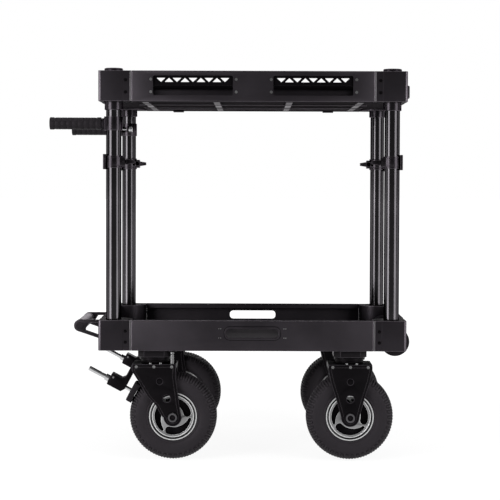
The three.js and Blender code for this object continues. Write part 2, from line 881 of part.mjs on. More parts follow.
// Comma shaped slot of the rim, fat at its start and narrow at its end, seen from the front
function rimSlot() {
  const steps = arcSteps + edgeSteps;
  const outer = rimRadius - rimLip - slotOuterInset;
  const width = (share) => slotFatWidth + (slotTipWidth - slotFatWidth) * share;
  const turnAt = (share) => THREE.MathUtils.degToRad(slotStartDegrees + slotSweepDegrees * share);
  const points = [];
  for (let i = 0; i <= steps; i += 1) {
    const turn = turnAt(i / steps);
    points.push(new THREE.Vector2(outer * Math.cos(turn), outer * Math.sin(turn)));
  }
  for (let i = steps; i >= 1; i -= 1) {
    const turn = turnAt(i / steps);
    const radius = outer - width(i / steps);
    points.push(new THREE.Vector2(radius * Math.cos(turn), radius * Math.sin(turn)));
  }
  const start = turnAt(0);
  const middle = outer - slotFatWidth / 2;
  for (let i = 1; i < arcSteps; i += 1) {
    const turn = start - Math.PI + Math.PI * (i / arcSteps);
    const half = slotFatWidth / 2;
    points.push(new THREE.Vector2(
      middle * Math.cos(start) + half * Math.cos(turn),
      middle * Math.sin(start) + half * Math.sin(turn),
    ));
  }
  return points;
}

function rim() {
  const half = rimWidth / 2;
  const lip = rimRadius - rimLip;
  const face = half - rimFaceDepth;
  const front = [
    [rimRadius, half],
    [lip, half],
    [lip, face],
    [rimHubRadius, face],
    [rimHubRadius, half],
    [0, half],
  ];
  const back = front.map(([r, y]) => [r, -y]).reverse();
  const body = turned([...back, ...front], 'y', fineFacets);
  const hole = turningBore(axleRadius, smallFacets);
  const bore = rod(hole, -half - overrun, half + overrun, 'y', smallFacets);
  const slots = Array.from({ length: slotCount }, (_, i) => {
    const slot = prismY(rimSlot(), -half - overrun, half + overrun);
    return slot.rotate([0, (-360 * i) / slotCount, 0]);
  });
  return cut(body, bore, ...slots);
}

// Bolt through the fork and the wheel, with a spacer and a head at each end
function wheelAxle() {
  const outside = forkOutside + fitGap;
  const head = outside + axleHeadLength;
  const spacerStart = rimWidth / 2 + fitGap;
  const spacerEnd = forkInside - fitGap;
  const half = [
    [rimHubRadius / 2, spacerStart],
    [rimHubRadius / 2, spacerEnd],
    [axleRadius, spacerEnd],
    [axleRadius, outside],
    [axleHeadRadius, outside],
    [axleHeadRadius, head - axleHeadChamfer],
    [axleHeadRadius - axleHeadChamfer, head],
    [0, head],
  ];
  const shaft = [[axleRadius, spacerStart], ...half];
  const profile = [...shaft.map(([r, y]) => [r, -y]).reverse(), ...shaft];
  return turned(profile, 'y', smallFacets);
}

// Outline of a fork's side plate round its hub, from points given as [height share, spread share]
function forkOutline(leftEnd, rightEnd, leftShares, rightShares) {
  const left = leftShares.map(([height, spread]) => [
    -forkEyeRadius + (leftEnd + forkEyeRadius) * spread,
    height * crownTop,
  ]);
  const right = rightShares.map(([height, spread]) => [
    forkEyeRadius + (rightEnd - forkEyeRadius) * spread,
    height * crownTop,
  ]);
  const steps = arcSteps + edgeSteps;
  const eye = Array.from({ length: steps + 1 }, (_, i) => {
    const turn = Math.PI + Math.PI * (i / steps);
    return [forkEyeRadius * Math.cos(turn), forkEyeRadius * Math.sin(turn)];
  });
  const top = [[rightEnd, crownTop], [leftEnd, crownTop]];
  return pointsOf([...top, ...left, ...eye, ...right.reverse()]);
}

// Both side plates and the crown between them, with the hub at the origin
function forkBody(leftEnd, rightEnd, leftShares, rightShares, holes) {
  const outline = forkOutline(leftEnd, rightEnd, leftShares, rightShares);
  const plates = [
    prismY(outline, -forkOutside, -forkInside),
    prismY(outline, forkInside, forkOutside),
  ];
  const crown = block(
    [leftEnd, rightEnd],
    [-forkInside - forkPlate / 2, forkInside + forkPlate / 2],
    [crownTop - crownThickness, crownTop],
  );
  const reach = [-forkOutside - overrun, forkOutside + overrun];
  const eye = rod(axleRadius + fitGap, ...reach, 'y', smallFacets);
  const cutters = holes.map(([x, z, radius]) => prismY(disc(x, z, radius, smallFacets), ...reach));
  return cut(join(...plates, crown), eye, ...cutters);
}

// Brake frame: u runs along the push rod towards the wheel, v square to it and up
const brakeAngle = THREE.MathUtils.degToRad(brakeAngleDegrees);

// Solid made in the brake frame, as (u, Y, v), turned to its place on the fork
function inBrakeFrame(body) {
  return body.rotate([0, brakeAngleDegrees, 0]);
}

// Distances along the push rod, measured from the hub
function brakePlaces() {
  const face = -(wheelRadius * facetStretch + padClearance);
  const crownEnd = -casterTrail - crownHalf();
  const crownMiddle = crownTop - crownThickness / 2;
  const armNear = crownEnd * Math.cos(brakeAngle) - crownMiddle * Math.sin(brakeAngle) + brakeArmLap;
  const blockNear = armNear - brakeStep;
  return {
    face,
    armNear,
    armFar: armNear - brakeArmThickness,
    blockNear,
    blockFar: blockNear - brakeBlockLength,
    armTop: crownEnd * Math.sin(brakeAngle) + crownMiddle * Math.cos(brakeAngle) + crownThickness,
  };
}

function brakeBracket() {
  const { armNear, armFar, armTop, blockNear, blockFar } = brakePlaces();
  const width = [-brakeBlockWidth / 2, brakeBlockWidth / 2];
  const low = brakeOffset + brakeBlockRise - brakeBlockHeight / 2;
  const high = low + brakeBlockHeight;
  const arm = block([armFar, armNear], width, [low + brakeBlockHeight / 4, armTop]);
  const body = block([blockFar, Math.max(blockNear, armFar + brakeStep)], width, [low, high]);
  const aboveCrown = block(
    [2 * armFar, 0],
    [-brakeBlockWidth, brakeBlockWidth],
    [crownTop, 2 * crownTop],
  );
  const bore = rod(brakeRodRadius + fitGap, blockFar - overrun, armNear + overrun, 'x', smallFacets)
    .translate([0, 0, brakeOffset]);
  return cut(inBrakeFrame(cut(join(arm, body), bore)), aboveCrown);
}

// Pad, push rod, stop collar and hand bar, all on one line
function brakePlunger() {
  const { face, blockFar } = brakePlaces();
  const back = face - padThickness;
  const stop = blockFar - fitGap;
  const stopEnd = stop - brakeStopLength;
  const barEnd = stopEnd - brakeHandleLength;
  const outline = roundedRectangle(
    [back, face],
    [brakeOffset - padHeight / 2, brakeOffset + padHeight / 2],
    padRadius,
  );
  const pad = prismY(outline, -padWidth / 2, padWidth / 2);
  const line = turned([
    [0, barEnd],
    [brakeHandleRadius, barEnd],
    [brakeHandleRadius, stopEnd],
    [brakeStopRadius, stopEnd],
    [brakeStopRadius, stop],
    [brakeRodRadius, stop],
    [brakeRodRadius, back + padThickness / 2],
    [0, back + padThickness / 2],
  ], 'x', smallFacets);
  return inBrakeFrame(join(pad, line.translate([0, 0, brakeOffset])));
}

// Swivel fork, its hub at the origin and its swivel axis ahead by the trail
function swivelFork() {
  const leftEnd = -casterTrail - crownHalf();
  const rightEnd = -casterTrail + crownHalf();
  const upper = forkUpperHoleShare * crownTop;
  const lower = forkLowerHoleShare * crownTop;
  const body = forkBody(leftEnd, rightEnd, trailingLeftShares, trailingRightShares, [
    [-forkUpperLeanShare * casterTrail, upper, forkUpperHole],
    [-forkLowerLeanShare * casterTrail, lower, forkLowerHole],
  ]);
  const reach = [crownTop - crownThickness - lockPinTail - overrun, crownTop + overrun];
  const kingpinHole = rod(turningBore(kingpinRadius, smallFacets), ...reach, 'z', smallFacets)
    .translate([-casterTrail, 0, 0]);
  const [pinX, pinY] = lockPinPlace();
  const pinHole = rod(lockPinRadius + fitGap, ...reach, 'z', smallFacets)
    .translate([pinX - casterTrail, pinY, 0]);
  return cut(join(body, brakeBracket()), kingpinHole, pinHole);
}

// Square block with cut corners over a round bearing, from the crown's top up to the shelf
function headBody(low) {
  const half = headBlockSide / 2;
  const flat = half - headBlockChamfer;
  const outline = pointsOf([
    [half, flat],
    [flat, half],
    [-flat, half],
    [-half, flat],
    [-half, -flat],
    [-flat, -half],
    [flat, -half],
    [half, -flat],
  ]);
  const under = headHeight - headBlockHeight;
  const bearing = turned([
    [0, low],
    [bearingRadius - bearingChamfer, low],
    [bearingRadius, low + bearingChamfer],
    [bearingRadius, under - bearingChamfer],
    [bearingRadius - bearingChamfer, under],
    [0, under],
  ], 'z');
  return join(prismZ(outline, under, headHeight - fitGap), bearing);
}

// Place of the lock pin from the swivel axis, where it clears the block's corners as it turns
function lockPinPlace() {
  const half = headBlockSide / 2;
  const distance = Math.hypot(half, half - headBlockChamfer) + lockPinClearance + lockPinRadius;
  const turn = THREE.MathUtils.degToRad(lockPinAngleDegrees);
  return [distance * Math.cos(turn), distance * Math.sin(turn)];
}

// Half the length of a fork's crown, which holds the lock pin
function crownHalf() {
  return lockPinPlace()[0] + lockPinRadius + crownMargin;
}

// Head of a swivel caster, with the kingpin, its nut and the lock tab; height 0 is the crown's top
function swivelHead() {
  const nutTop = -crownThickness - fitGap;
  const kingpin = turned([
    [0, nutTop - kingpinNutHeight],
    [kingpinNutRadius, nutTop - kingpinNutHeight],
    [kingpinNutRadius, nutTop],
    [kingpinRadius, nutTop],
    [kingpinRadius, fitGap + bearingChamfer],
    [0, fitGap + bearingChamfer],
  ], 'z', smallFacets);
  const [pinX, pinY] = lockPinPlace();
  const levels = [headHeight - lockTabThickness, headHeight - fitGap];
  const tabWidth = [-lockTabWidth / 2, lockTabWidth / 2];
  const tab = block([0, Math.hypot(pinX, pinY) + lockTabMargin], tabWidth, levels)
    .rotate([0, 0, lockPinAngleDegrees]);
  const pinHole = rod(lockPinRadius + fitGap, levels[0] - overrun, levels[1] + overrun, 'z', smallFacets)
    .translate([pinX, pinY, 0]);
  return cut(join(headBody(fitGap), kingpin, tab), pinHole);
}

// Lock pin in the crown, its tip just under the lock tab's hole; height 0 is the crown's top
function lockPin() {
  const low = -crownThickness - lockPinTail;
  const high = headHeight - lockTabThickness - fitGap;
  return turned([
    [0, low],
    [lockPinRadius - lockPinChamfer, low],
    [lockPinRadius, low + lockPinChamfer],
    [lockPinRadius, high - lockPinChamfer],
    [lockPinRadius - lockPinChamfer, high],
    [0, high],
  ], 'z', smallFacets);
}

// Rigid fork with its head, its hub at the origin
function rigidFork() {
  const end = crownHalf();
  const holes = [
    [0, forkUpperHoleShare * crownTop, forkUpperHole],
    [0, forkLowerHoleShare * crownTop, forkLowerHole],
  ];
  const body = forkBody(-end, end, rigidSideShares, rigidSideShares, holes);
  return join(body, headBody(-fitGap).translate([0, 0, crownTop]));
}

// Group of meshes at a point
function placed(meshes, x, y, z) {
  const group = new THREE.Group();
  group.position.set(x, y, z);
  group.add(...meshes);
  return group;
}

function shelves() {
  const upper = placed([
    piece('top_rail_front', upperFrontRail(), 'anodised'),
    piece('top_rail_back', upperBackRail(), 'anodised'),
    piece('top_deck', upperDeck(), 'anodised'),
    piece('window_lattice_left', windowLattice(-windowCentre), 'anodised'),
    piece('window_lattice_right', windowLattice(windowCentre), 'anodised'),
    piece('end_handle', endHandle(), 'cast'),
  ], 0, 0, upperShelf);
  const lower = placed([
    piece('lower_rail_front', lowerRail(sides.front), 'anodised'),
    piece('lower_rail_back', lowerRail(sides.back), 'anodised'),
    piece('lower_deck', lowerDeck(), 'anodised'),
    piece('lift_bar', liftBar(), 'anodised'),
  ], 0, 0, lowerShelf);
  return [upper, lower];
}

function postStack(end, side) {
  const [endSign, sideSign] = [ends[end], sides[side]];
  const name = `${side}_${end}`;
  const clampHeightOnPost = lowerShelf + railHeight + shelfClampPlaceShare * shelfSpace;
  const screw = -endSign * clampScrewPlace();
  const lever = piece(`clamp_lever_${name}`, clampLever(endSign, sideSign), 'cast');
  return placed([
    placed([piece(`top_corner_${name}`, upperCorner(endSign, sideSign), 'anodised')], 0, 0, upperShelf),
    placed([piece(`lower_corner_${name}`, lowerCorner(endSign, sideSign), 'anodised')], 0, 0, lowerShelf),
    piece(`post_${name}`, post(), 'anodised'),
    placed([piece(`shelf_clamp_${name}`, shelfClamp(endSign), 'cast')], 0, 0, clampHeightOnPost),
    placed([lever], screw, 0, clampHeightOnPost),
  ], endSign * postX, sideSign * postY, 0);
}

function pushHandle(side) {
  const sideSign = sides[side];
  const height = lowerShelf + railHeight + handlePlaceShare * shelfSpace;
  return placed([
    piece(`handle_clamp_${side}`, handleClamp(sideSign), 'cast'),
    piece(`handle_grip_${side}`, handleGrip(), 'rubber'),
    placed([piece(`handle_screw_${side}`, thumbScrew(), 'chrome')], 0, -sideSign * thumbScrewPlace(), 0),
  ], -postX, sideSign * postY, height);
}

function roller(side) {
  const face = frameWidth / 2 - cornerLength - fitGap - rollerWidth / 2;
  const mesh = piece(`loading_roller_${side}`, loadingRoller(), 'rubber');
  return placed([mesh], frameLength / 2 - rollerInset, sides[side] * face, lowerShelf + rollerRise);
}

function wheel(name, turnDegrees) {
  return [
    piece(`wheel_rim_${name}`, rim().rotate([0, -turnDegrees, 0]), 'silver'),
    piece(`tyre_${name}`, tyre(), 'rubber'),
    piece(`wheel_axle_${name}`, wheelAxle(), 'chrome'),
  ];
}

function swivelCaster(side) {
  const y = sides[side] * wheelHalfTrack;
  const head = placed([
    piece(`swivel_head_${side}`, swivelHead(), 'cast'),
    placed([piece(`lock_pin_${side}`, lockPin(), 'chrome')], ...lockPinPlace(), 0),
  ], -casterX, y, wheelRadius + crownTop);
  const fork = placed([
    piece(`swivel_fork_${side}`, swivelFork(), 'cast'),
    piece(`brake_plunger_${side}`, brakePlunger(), 'chrome'),
    ...wheel(`${side}_left`, 0),
  ], -casterX + casterTrail, y, wheelRadius);
  return [head, fork];
}

function rigidCaster(side) {
  const meshes = [
    piece(`rigid_fork_${side}`, rigidFork(), 'cast'),
    ...wheel(`${side}_right`, rightWheelTurnDegrees),
  ];
  return placed(meshes, casterX, sides[side] * wheelHalfTrack, wheelRadius);
}

// The whole cart, with its origin on the floor under the middle of its footprint
function cart() {
  const whole = new THREE.Group();
  whole.add(...shelves());
  for (const side of Object.keys(sides)) {
    for (const end of Object.keys(ends)) whole.add(postStack(end, side));
    whole.add(pushHandle(side), roller(side), ...swivelCaster(side), rigidCaster(side));
  }
  const footprint = new THREE.Box3().setFromObject(whole, true).getCenter(new THREE.Vector3());
  whole.position.set(-footprint.x, -footprint.y, 0);
  return whole;
}

export default cart();
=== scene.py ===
import math

import bmesh
import bpy
from mathutils import Matrix, Vector


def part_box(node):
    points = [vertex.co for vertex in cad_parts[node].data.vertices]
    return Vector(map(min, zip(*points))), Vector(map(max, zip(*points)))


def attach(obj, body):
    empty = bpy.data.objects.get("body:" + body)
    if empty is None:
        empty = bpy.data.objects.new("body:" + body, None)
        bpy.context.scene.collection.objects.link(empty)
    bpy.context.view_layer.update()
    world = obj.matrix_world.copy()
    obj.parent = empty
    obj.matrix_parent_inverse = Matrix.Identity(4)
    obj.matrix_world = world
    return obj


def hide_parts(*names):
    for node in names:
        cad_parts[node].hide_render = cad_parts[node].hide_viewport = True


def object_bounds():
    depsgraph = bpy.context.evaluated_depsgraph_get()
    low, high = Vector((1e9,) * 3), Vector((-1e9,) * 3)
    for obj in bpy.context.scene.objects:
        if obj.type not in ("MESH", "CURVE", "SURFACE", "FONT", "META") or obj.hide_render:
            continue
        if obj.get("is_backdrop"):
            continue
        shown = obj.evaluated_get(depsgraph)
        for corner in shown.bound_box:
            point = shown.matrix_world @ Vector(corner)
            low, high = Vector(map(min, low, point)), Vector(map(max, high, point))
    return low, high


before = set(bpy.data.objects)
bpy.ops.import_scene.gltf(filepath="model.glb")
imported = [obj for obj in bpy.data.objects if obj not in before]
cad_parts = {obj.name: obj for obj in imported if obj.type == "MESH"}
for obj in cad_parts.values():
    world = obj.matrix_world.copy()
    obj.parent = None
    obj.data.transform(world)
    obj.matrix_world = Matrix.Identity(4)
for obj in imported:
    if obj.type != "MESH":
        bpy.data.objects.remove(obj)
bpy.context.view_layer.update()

# ---- Studio ----
# A pale floor that keeps the shadow, a white surround and six soft boxes. Gloss sees the
# white behind the cart and a dim room in front of it. The camera stands where the photograph
# was taken.
camera_place = Vector((0.06273, -4.4365, 0.80871))
yaw, pitch, roll = -0.00019, -0.02719, 0.00328
level_right = Vector((math.cos(yaw), math.sin(yaw), 0))
level_ahead = Vector((-math.sin(yaw), math.cos(yaw), 0))
upright = Vector((0, 0, 1))
ahead = math.cos(pitch) * level_ahead + math.sin(pitch) * upright
level_up = -math.sin(pitch) * level_ahead + math.cos(pitch) * upright
right = math.cos(roll) * level_right + math.sin(roll) * level_up
up = -math.sin(roll) * level_right + math.cos(roll) * level_up


def linked(name, data):
    """New object in the scene."""
    item = bpy.data.objects.new(name, data)
    bpy.context.scene.collection.objects.link(item)
    return item


def added(tree, kind, **inputs):
    """New node with some of its inputs set; an underscore in a name stands for a space."""
    node = tree.nodes.new(kind)
    for label, value in inputs.items():
        node.inputs[label.replace("_", " ")].default_value = value
    return node


def wire(tree, *pairs):
    """Link the first of each pair, an output, to the second, an input."""
    for source, target in pairs:
        tree.links.new(source, target)


def reckoned(tree, operation, *terms):
    """Output of a math node whose terms are numbers or the outputs of other nodes."""
    step = tree.nodes.new("ShaderNodeMath")
    step.operation = operation
    for place, term in zip(step.inputs, terms):
        if isinstance(term, (int, float)):
            place.default_value = term
        else:
            tree.links.new(term, place)
    return step.outputs[0]


def seen_directly(tree, gloss_share):
    """1 for what the camera sees itself or through glass, the given share for what gloss sees,
    and 0 for light on things."""
    path = added(tree, "ShaderNodeLightPath").outputs
    gloss = reckoned(tree, "MULTIPLY", path["Is Glossy Ray"], gloss_share)
    seen = reckoned(tree, "MAXIMUM", path["Is Camera Ray"], gloss)
    return reckoned(tree, "MAXIMUM", seen, path["Is Transmission Ray"])


camera = linked("camera", bpy.data.cameras.new("camera"))
camera.data.sensor_width = 36
camera.data.lens = 103.78
camera.data.shift_x = -0.00974
camera.data.shift_y = -0.05865
camera.data.clip_end = 300
camera_turn = Matrix((right, up, -ahead)).transposed().to_4x4()
camera.matrix_world = Matrix.Translation(camera_place) @ camera_turn
bpy.context.scene.camera = camera
bpy.context.scene.view_settings.view_transform = "Standard"

white = (1, 1, 1, 1)
world = bpy.data.worlds.new("surround")
world.use_nodes = True
bpy.context.scene.world = world
room = world.node_tree
room.nodes.clear()
room_light = added(room, "ShaderNodeBackground", Color=white, Strength=0.16)
room_view = added(room, "ShaderNodeBackground", Color=white)
direction, parts = added(room, "ShaderNodeTexCoord"), added(room, "ShaderNodeSeparateXYZ")
behind = added(room, "ShaderNodeMapRange", From_Min=0.5, From_Max=0.9)
room_mix, room_out = added(room, "ShaderNodeMixShader"), added(room, "ShaderNodeOutputWorld")
wire(
    room,
    (direction.outputs["Generated"], parts.inputs[0]),
    (parts.outputs["Y"], behind.inputs["Value"]),
    (seen_directly(room, behind.outputs[0]), room_mix.inputs[0]),
    (room_light.outputs[0], room_mix.inputs[1]),
    (room_view.outputs[0], room_mix.inputs[2]),
    (room_mix.outputs[0], room_out.inputs["Surface"]),
)

edge = 60
floor_mesh = bpy.data.meshes.new("studio_floor")
floor_corners = [(-edge, -edge, 0), (edge, -edge, 0), (edge, edge, 0), (-edge, edge, 0)]
floor_mesh.from_pydata(floor_corners, [], [(0, 1, 2, 3)])
linked("studio_floor", floor_mesh)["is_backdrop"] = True
floor_paint = bpy.data.materials.new("studio_floor")
floor_paint.use_nodes = True
ground = floor_paint.node_tree
ground.nodes.clear()
matt = added(ground, "ShaderNodeBsdfDiffuse", Color=(0.5, 0.5, 0.5, 1))
glow = added(ground, "ShaderNodeEmission")
ground_place, reach = added(ground, "ShaderNodeTexCoord"), added(ground, "ShaderNodeVectorMath")
reach.operation = "LENGTH"
fade = added(ground, "ShaderNodeMapRange", From_Min=1.2, From_Max=4, To_Min=1.3, To_Max=1.62)
parts = added(ground, "ShaderNodeSeparateXYZ")
front = added(ground, "ShaderNodeMapRange", From_Min=-3.6, From_Max=-1.2, To_Min=0.15, To_Max=1)
floor_mix = added(ground, "ShaderNodeMixShader")
floor_out = added(ground, "ShaderNodeOutputMaterial")
glow_share = reckoned(ground, "MULTIPLY", seen_directly(ground, front.outputs[0]), 0.7)
wire(
    ground,
    (ground_place.outputs["Object"], reach.inputs[0]),
    (reach.outputs["Value"], fade.inputs["Value"]),
    (fade.outputs[0], glow.inputs["Strength"]),
    (ground_place.outputs["Object"], parts.inputs[0]),
    (parts.outputs["Y"], front.inputs["Value"]),
    (glow_share, floor_mix.inputs[0]),
    (matt.outputs[0], floor_mix.inputs[1]),
    (glow.outputs[0], floor_mix.inputs[2]),
    (floor_mix.outputs[0], floor_out.inputs["Surface"]),
)
floor_mesh.materials.append(floor_paint)

for lamp_name, place, aim, width, height, power in (
    ("left_soft_box", (-1.85, -1.75, 1.0), (-0.1, 0, 0.72), 1.1, 2.4, 54),
    ("right_soft_box", (2.0, -1.6, 1.0), (0.2, 0, 0.72), 1.1, 2.4, 33),
    ("top_soft_box", (0.1, -0.3, 3.1), (0.06, 0, 0.5), 2.6, 2.2, 36),
    ("left_end_soft_box", (-3.0, 0.5, 1.3), (0, 0, 0.6), 1.4, 1.6, 6),
    ("right_end_soft_box", (3.1, 0.5, 1.3), (0.1, 0, 0.6), 1.4, 1.6, 6),
    ("back_soft_box", (0.06, 2.6, 1.9), (0.06, 0, 0.7), 2.4, 1.2, 24),
):
    lamp = linked(lamp_name, bpy.data.lights.new(lamp_name, "AREA"))
    lamp.data.shape = "RECTANGLE"
    lamp.data.size, lamp.data.size_y, lamp.data.energy = width, height, power
    lamp.location = place
    lamp.rotation_euler = (Vector(aim) - Vector(place)).to_track_quat("-Z", "Y").to_euler()

# ---- Posts ----
# Four round aluminium tubes, drawn and black anodised, each closed at the top by a turned
# cap that is pressed in and stands a little wider than the tube.
mm = 0.001
centre_x = (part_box("post_front_left")[0].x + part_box("post_front_right")[1].x) / 2
shelf_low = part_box("lower_rail_front")[0].z
shelf_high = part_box("top_rail_front")[0].z
corner_names = [(side, end) for side in ("front", "back") for end in ("left", "right")]
end_sign = {"left": -1, "right": 1}
side_sign = {"front": -1, "back": 1}


def middle(node):
    low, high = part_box(node)
    return (low + high) / 2


def finish(name, colour, wear_and_highlight, metal, roughness, gloss, grain, depth, tint=1.0):
    """Surface whose colour and roughness drift slowly, with a fine grain and lighter edges that are
    partly rub wear and partly painted highlight. The black coats lean a little to violet."""
    green = 0.9 if max(colour) < 0.05 else 0.96 if max(colour) < 0.15 else 1.0
    colour, wear_and_highlight = [(c[0], c[1] * green, c[2]) for c in (colour, wear_and_highlight)]
    paint = bpy.data.materials.new(name)
    paint.use_nodes = True
    tree = paint.node_tree
    shader = tree.nodes["Principled BSDF"].inputs
    shader["Metallic"].default_value = metal
    shader["Specular IOR Level"].default_value = gloss
    shader["Specular Tint"].default_value = (tint, tint * green, tint, 1)
    place = added(tree, "ShaderNodeTexCoord").outputs["Object"]
    cloud = added(tree, "ShaderNodeTexNoise", Scale=7, Detail=5)
    dust = added(tree, "ShaderNodeTexNoise", Scale=grain, Detail=3)
    drift = added(tree, "ShaderNodeValToRGB")
    for stop, position, share in zip(drift.color_ramp.elements, (0.3, 0.7), (0.82, 1.15)):
        stop.position = position
        stop.color = [c * share for c in colour] + [1]
    # Marked edges take the lighter colour where the fine grain allows: rub wear and painted
    # highlight.
    edge = added(tree, "ShaderNodeAttribute")
    edge.attribute_name = "wear_and_highlight"
    rub_and_highlight = added(tree, "ShaderNodeMapRange", From_Min=0.35, From_Max=0.6, To_Min=0.5, To_Max=1)
    mix = added(tree, "ShaderNodeMix")
    mix.data_type = "RGBA"
    mix.inputs["B"].default_value = (*wear_and_highlight, 1)
    rough = added(tree, "ShaderNodeMapRange", To_Min=roughness - 0.06, To_Max=roughness + 0.08)
    bump = added(tree, "ShaderNodeBump", Strength=0.6, Distance=depth)
    share = reckoned(tree, "MULTIPLY", edge.outputs["Fac"], rub_and_highlight.outputs[0])
    wire(
        tree,
        (place, cloud.inputs["Vector"]),
        (place, dust.inputs["Vector"]),
        (cloud.outputs["Fac"], drift.inputs["Fac"]),
        (dust.outputs["Fac"], rub_and_highlight.inputs["Value"]),
        (share, mix.inputs["Factor"]),
        (drift.outputs["Color"], mix.inputs["A"]),
        (mix.outputs["Result"], shader["Base Color"]),
        (cloud.outputs["Fac"], rough.inputs["Value"]),
        (rough.outputs[0], shader["Roughness"]),
        (dust.outputs["Fac"], bump.inputs["Height"]),
        (bump.outputs["Normal"], shader["Normal"]),
    )
    return paint


def arc(x, y, radius, start, stop, steps=4):
    """Points of an arc round (x, y), in degrees. In a turned profile, x is the radius."""
    turns = [math.radians(start + (stop - start) * i / steps) for i in range(steps + 1)]
    return [(x + radius * math.cos(t), y + radius * math.sin(t)) for t in turns]


def turned(profile, place, axis="z", steps=72, wear_and_highlight=()):
    """Closed solid of revolution from (radius, height) pairs in mm, round an axis through a
    place. The rows of the profile that are listed take the finish's lighter edge colour."""
    shell = bmesh.new()
    rub_and_highlight = shell.faces.layers.float.new("wear_and_highlight")
    on_axis = 1e-6
    rings = []
    for radius, height in profile:
        if radius < on_axis:
            rings.append([shell.verts.new((0, 0, height * mm))])
            continue
        ring = []
        for i in range(steps):
            t = 2 * math.pi * i / steps
            ring.append(shell.verts.new(
                (radius * mm * math.cos(t), radius * mm * math.sin(t), height * mm)
            ))
        rings.append(ring)
    pairs = list(zip(rings, rings[1:]))
    if profile[0][0] > on_axis and profile[-1][0] > on_axis:
        pairs.append((rings[-1], rings[0]))
    for row, (lower, upper) in enumerate(pairs):
        for i in range(steps):
            j = (i + 1) % steps
            corners = [lower[i % len(lower)], lower[j % len(lower)],
                       upper[j % len(upper)], upper[i % len(upper)]]
            unique = list(dict.fromkeys(corners))
            if len(unique) > 2:
                face = shell.faces.new(unique)
                face[rub_and_highlight] = 1.0 if row in wear_and_highlight else 0.0
    bmesh.ops.remove_doubles(shell, verts=shell.verts, dist=1e-6)
    bmesh.ops.recalc_face_normals(shell, faces=shell.faces)
    quarter = math.pi / 2
    turn = {
        "x": Matrix.Rotation(quarter, 4, "Y"),
        "y": Matrix.Rotation(-quarter, 4, "X"),
        "z": Matrix(),
    }[axis]
    onto = Matrix.Translation(place) @ turn
    bmesh.ops.transform(shell, matrix=onto, verts=shell.verts)
    return shell


def on_body(name, mesh, body):
    """Object of a finished mesh that rides on a body."""
    piece = linked(name, mesh)
    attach(piece, body)
    return piece


def made(name, shells, body, slot, *nodes):
    """One object of several closed shells, each with its finish, that rides on a body."""
    sharp_angle = 27
    piece_mesh = bpy.data.meshes.new(name)
    whole = bmesh.new()
    whole.faces.layers.float.new("wear_and_highlight")
    paints = []
    for shell, paint in shells:
        if paint not in paints:
            paints.append(paint)
        for face in shell.faces:
            face.material_index = paints.index(paint)
            face.smooth = True
        part = bpy.data.meshes.new("part")
        shell.to_mesh(part)
        whole.from_mesh(part)
        bpy.data.meshes.remove(part)
        shell.free()
    whole.to_mesh(piece_mesh)
    whole.free()
    for paint in paints:
        piece_mesh.materials.append(paint)
    piece_mesh.set_sharp_from_angle(angle=math.radians(sharp_angle))
    piece = on_body(name, piece_mesh, body)
    if nodes:
        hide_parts(*nodes)
    return piece


tube_black = finish(
    "anodised_tube", (0.062, 0.061, 0.063), (0.15, 0.15, 0.15), metal=1.0, roughness=0.13,
    gloss=0.5, grain=700, depth=0.00002, tint=0.15,
)
cap_black = finish(
    "turned_cap", (0.017, 0.016, 0.018), (0.07, 0.07, 0.07), metal=0.6, roughness=0.34,
    gloss=0.2, grain=900, depth=0.00004, tint=0.5,
)
post_radius, post_wall, cap_overhang, cap_height, cap_rounding = 22.25, 3, 4.9, 8.5, 3

for side, end in corner_names:
    low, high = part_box(f"post_{side}_{end}")
    foot = Vector(((low.x + high.x) / 2, (low.y + high.y) / 2, low.z))
    length = (high.z - low.z) / mm
    seat = length - cap_height
    bore = post_radius - post_wall
    tube = [(0, seat), (bore, seat), (bore, 0), (post_radius, 0), (post_radius, seat), (0, seat)]
    wide = post_radius + cap_overhang
    top = [(0, seat), (wide, seat)]
    top += arc(wide - cap_rounding, length - cap_rounding, cap_rounding, 0, 90, 5)
    top += [(wide - 9, length), (wide - 10, length - 1), (0, length - 1)]
    made(
        f"post_{side}_{end}_tube",
        [(turned(tube, foot), tube_black), (turned(top, foot, wear_and_highlight=(3, 4, 5)), cap_black)],
        "frame", "anodised", f"post_{side}_{end}",
    )

# ---- Corner castings ----
# Die cast aluminium corners that clamp the posts, black coated, with a set-back flange on
# each inner side where two socket screws hold the rail. The upper ones carry a sleeve.
rail_height, corner_length, corner_radius, post_inset = 88, 96, 7, 41.2
sleeve_wall, bore_gap, casting_ease = 4.2, 0.3, 1.3
flange_length, flange_step, screw_inset = 24, 1.4, 17.4
cast_black = finish(
    "coated_casting", (0.027, 0.0265, 0.0277), (0.14, 0.138, 0.141), metal=0.9, roughness=0.43,
    gloss=0.15, grain=1500, depth=0.00008, tint=0.15,
)
satin_black = finish(
    "satin_casting", (0.038, 0.0375, 0.0388), (0.14, 0.14, 0.142), metal=1.0, roughness=0.26,
    gloss=0.4, grain=1500, depth=0.00004, tint=0.3,
)
# A light finish for the beads at the rail joints: a painted highlight.
bead_highlight = finish(
    "casting_bead_highlight", (0.1, 0.099, 0.101), (0.2, 0.2, 0.2), metal=0.7, roughness=0.4, gloss=0.3,
    grain=1500, depth=0.00006, tint=0.5,
)
bolt_bright = finish(
    "bright_bolt", (0.72, 0.72, 0.73), (0.85, 0.85, 0.85), metal=1.0, roughness=0.34,
    gloss=0.5, grain=1200, depth=0.00003,
)


def baked(item, *tools):
    """Plain mesh of an object as its modifiers leave it. The object and its tools go."""
    graph = bpy.context.evaluated_depsgraph_get()
    mesh = bpy.data.meshes.new_from_object(item.evaluated_get(graph))
    for spent in (item, *tools):
        data = spent.data
        bpy.data.objects.remove(spent)
        kept_in = bpy.data.curves if isinstance(data, bpy.types.Curve) else bpy.data.meshes
        kept_in.remove(data)
    return mesh


def shell_of(mesh):
    """Open the faces of a plain mesh for editing, and let the mesh go."""
    shell = bmesh.new()
    shell.from_mesh(mesh)
    bpy.data.meshes.remove(mesh)
    return shell


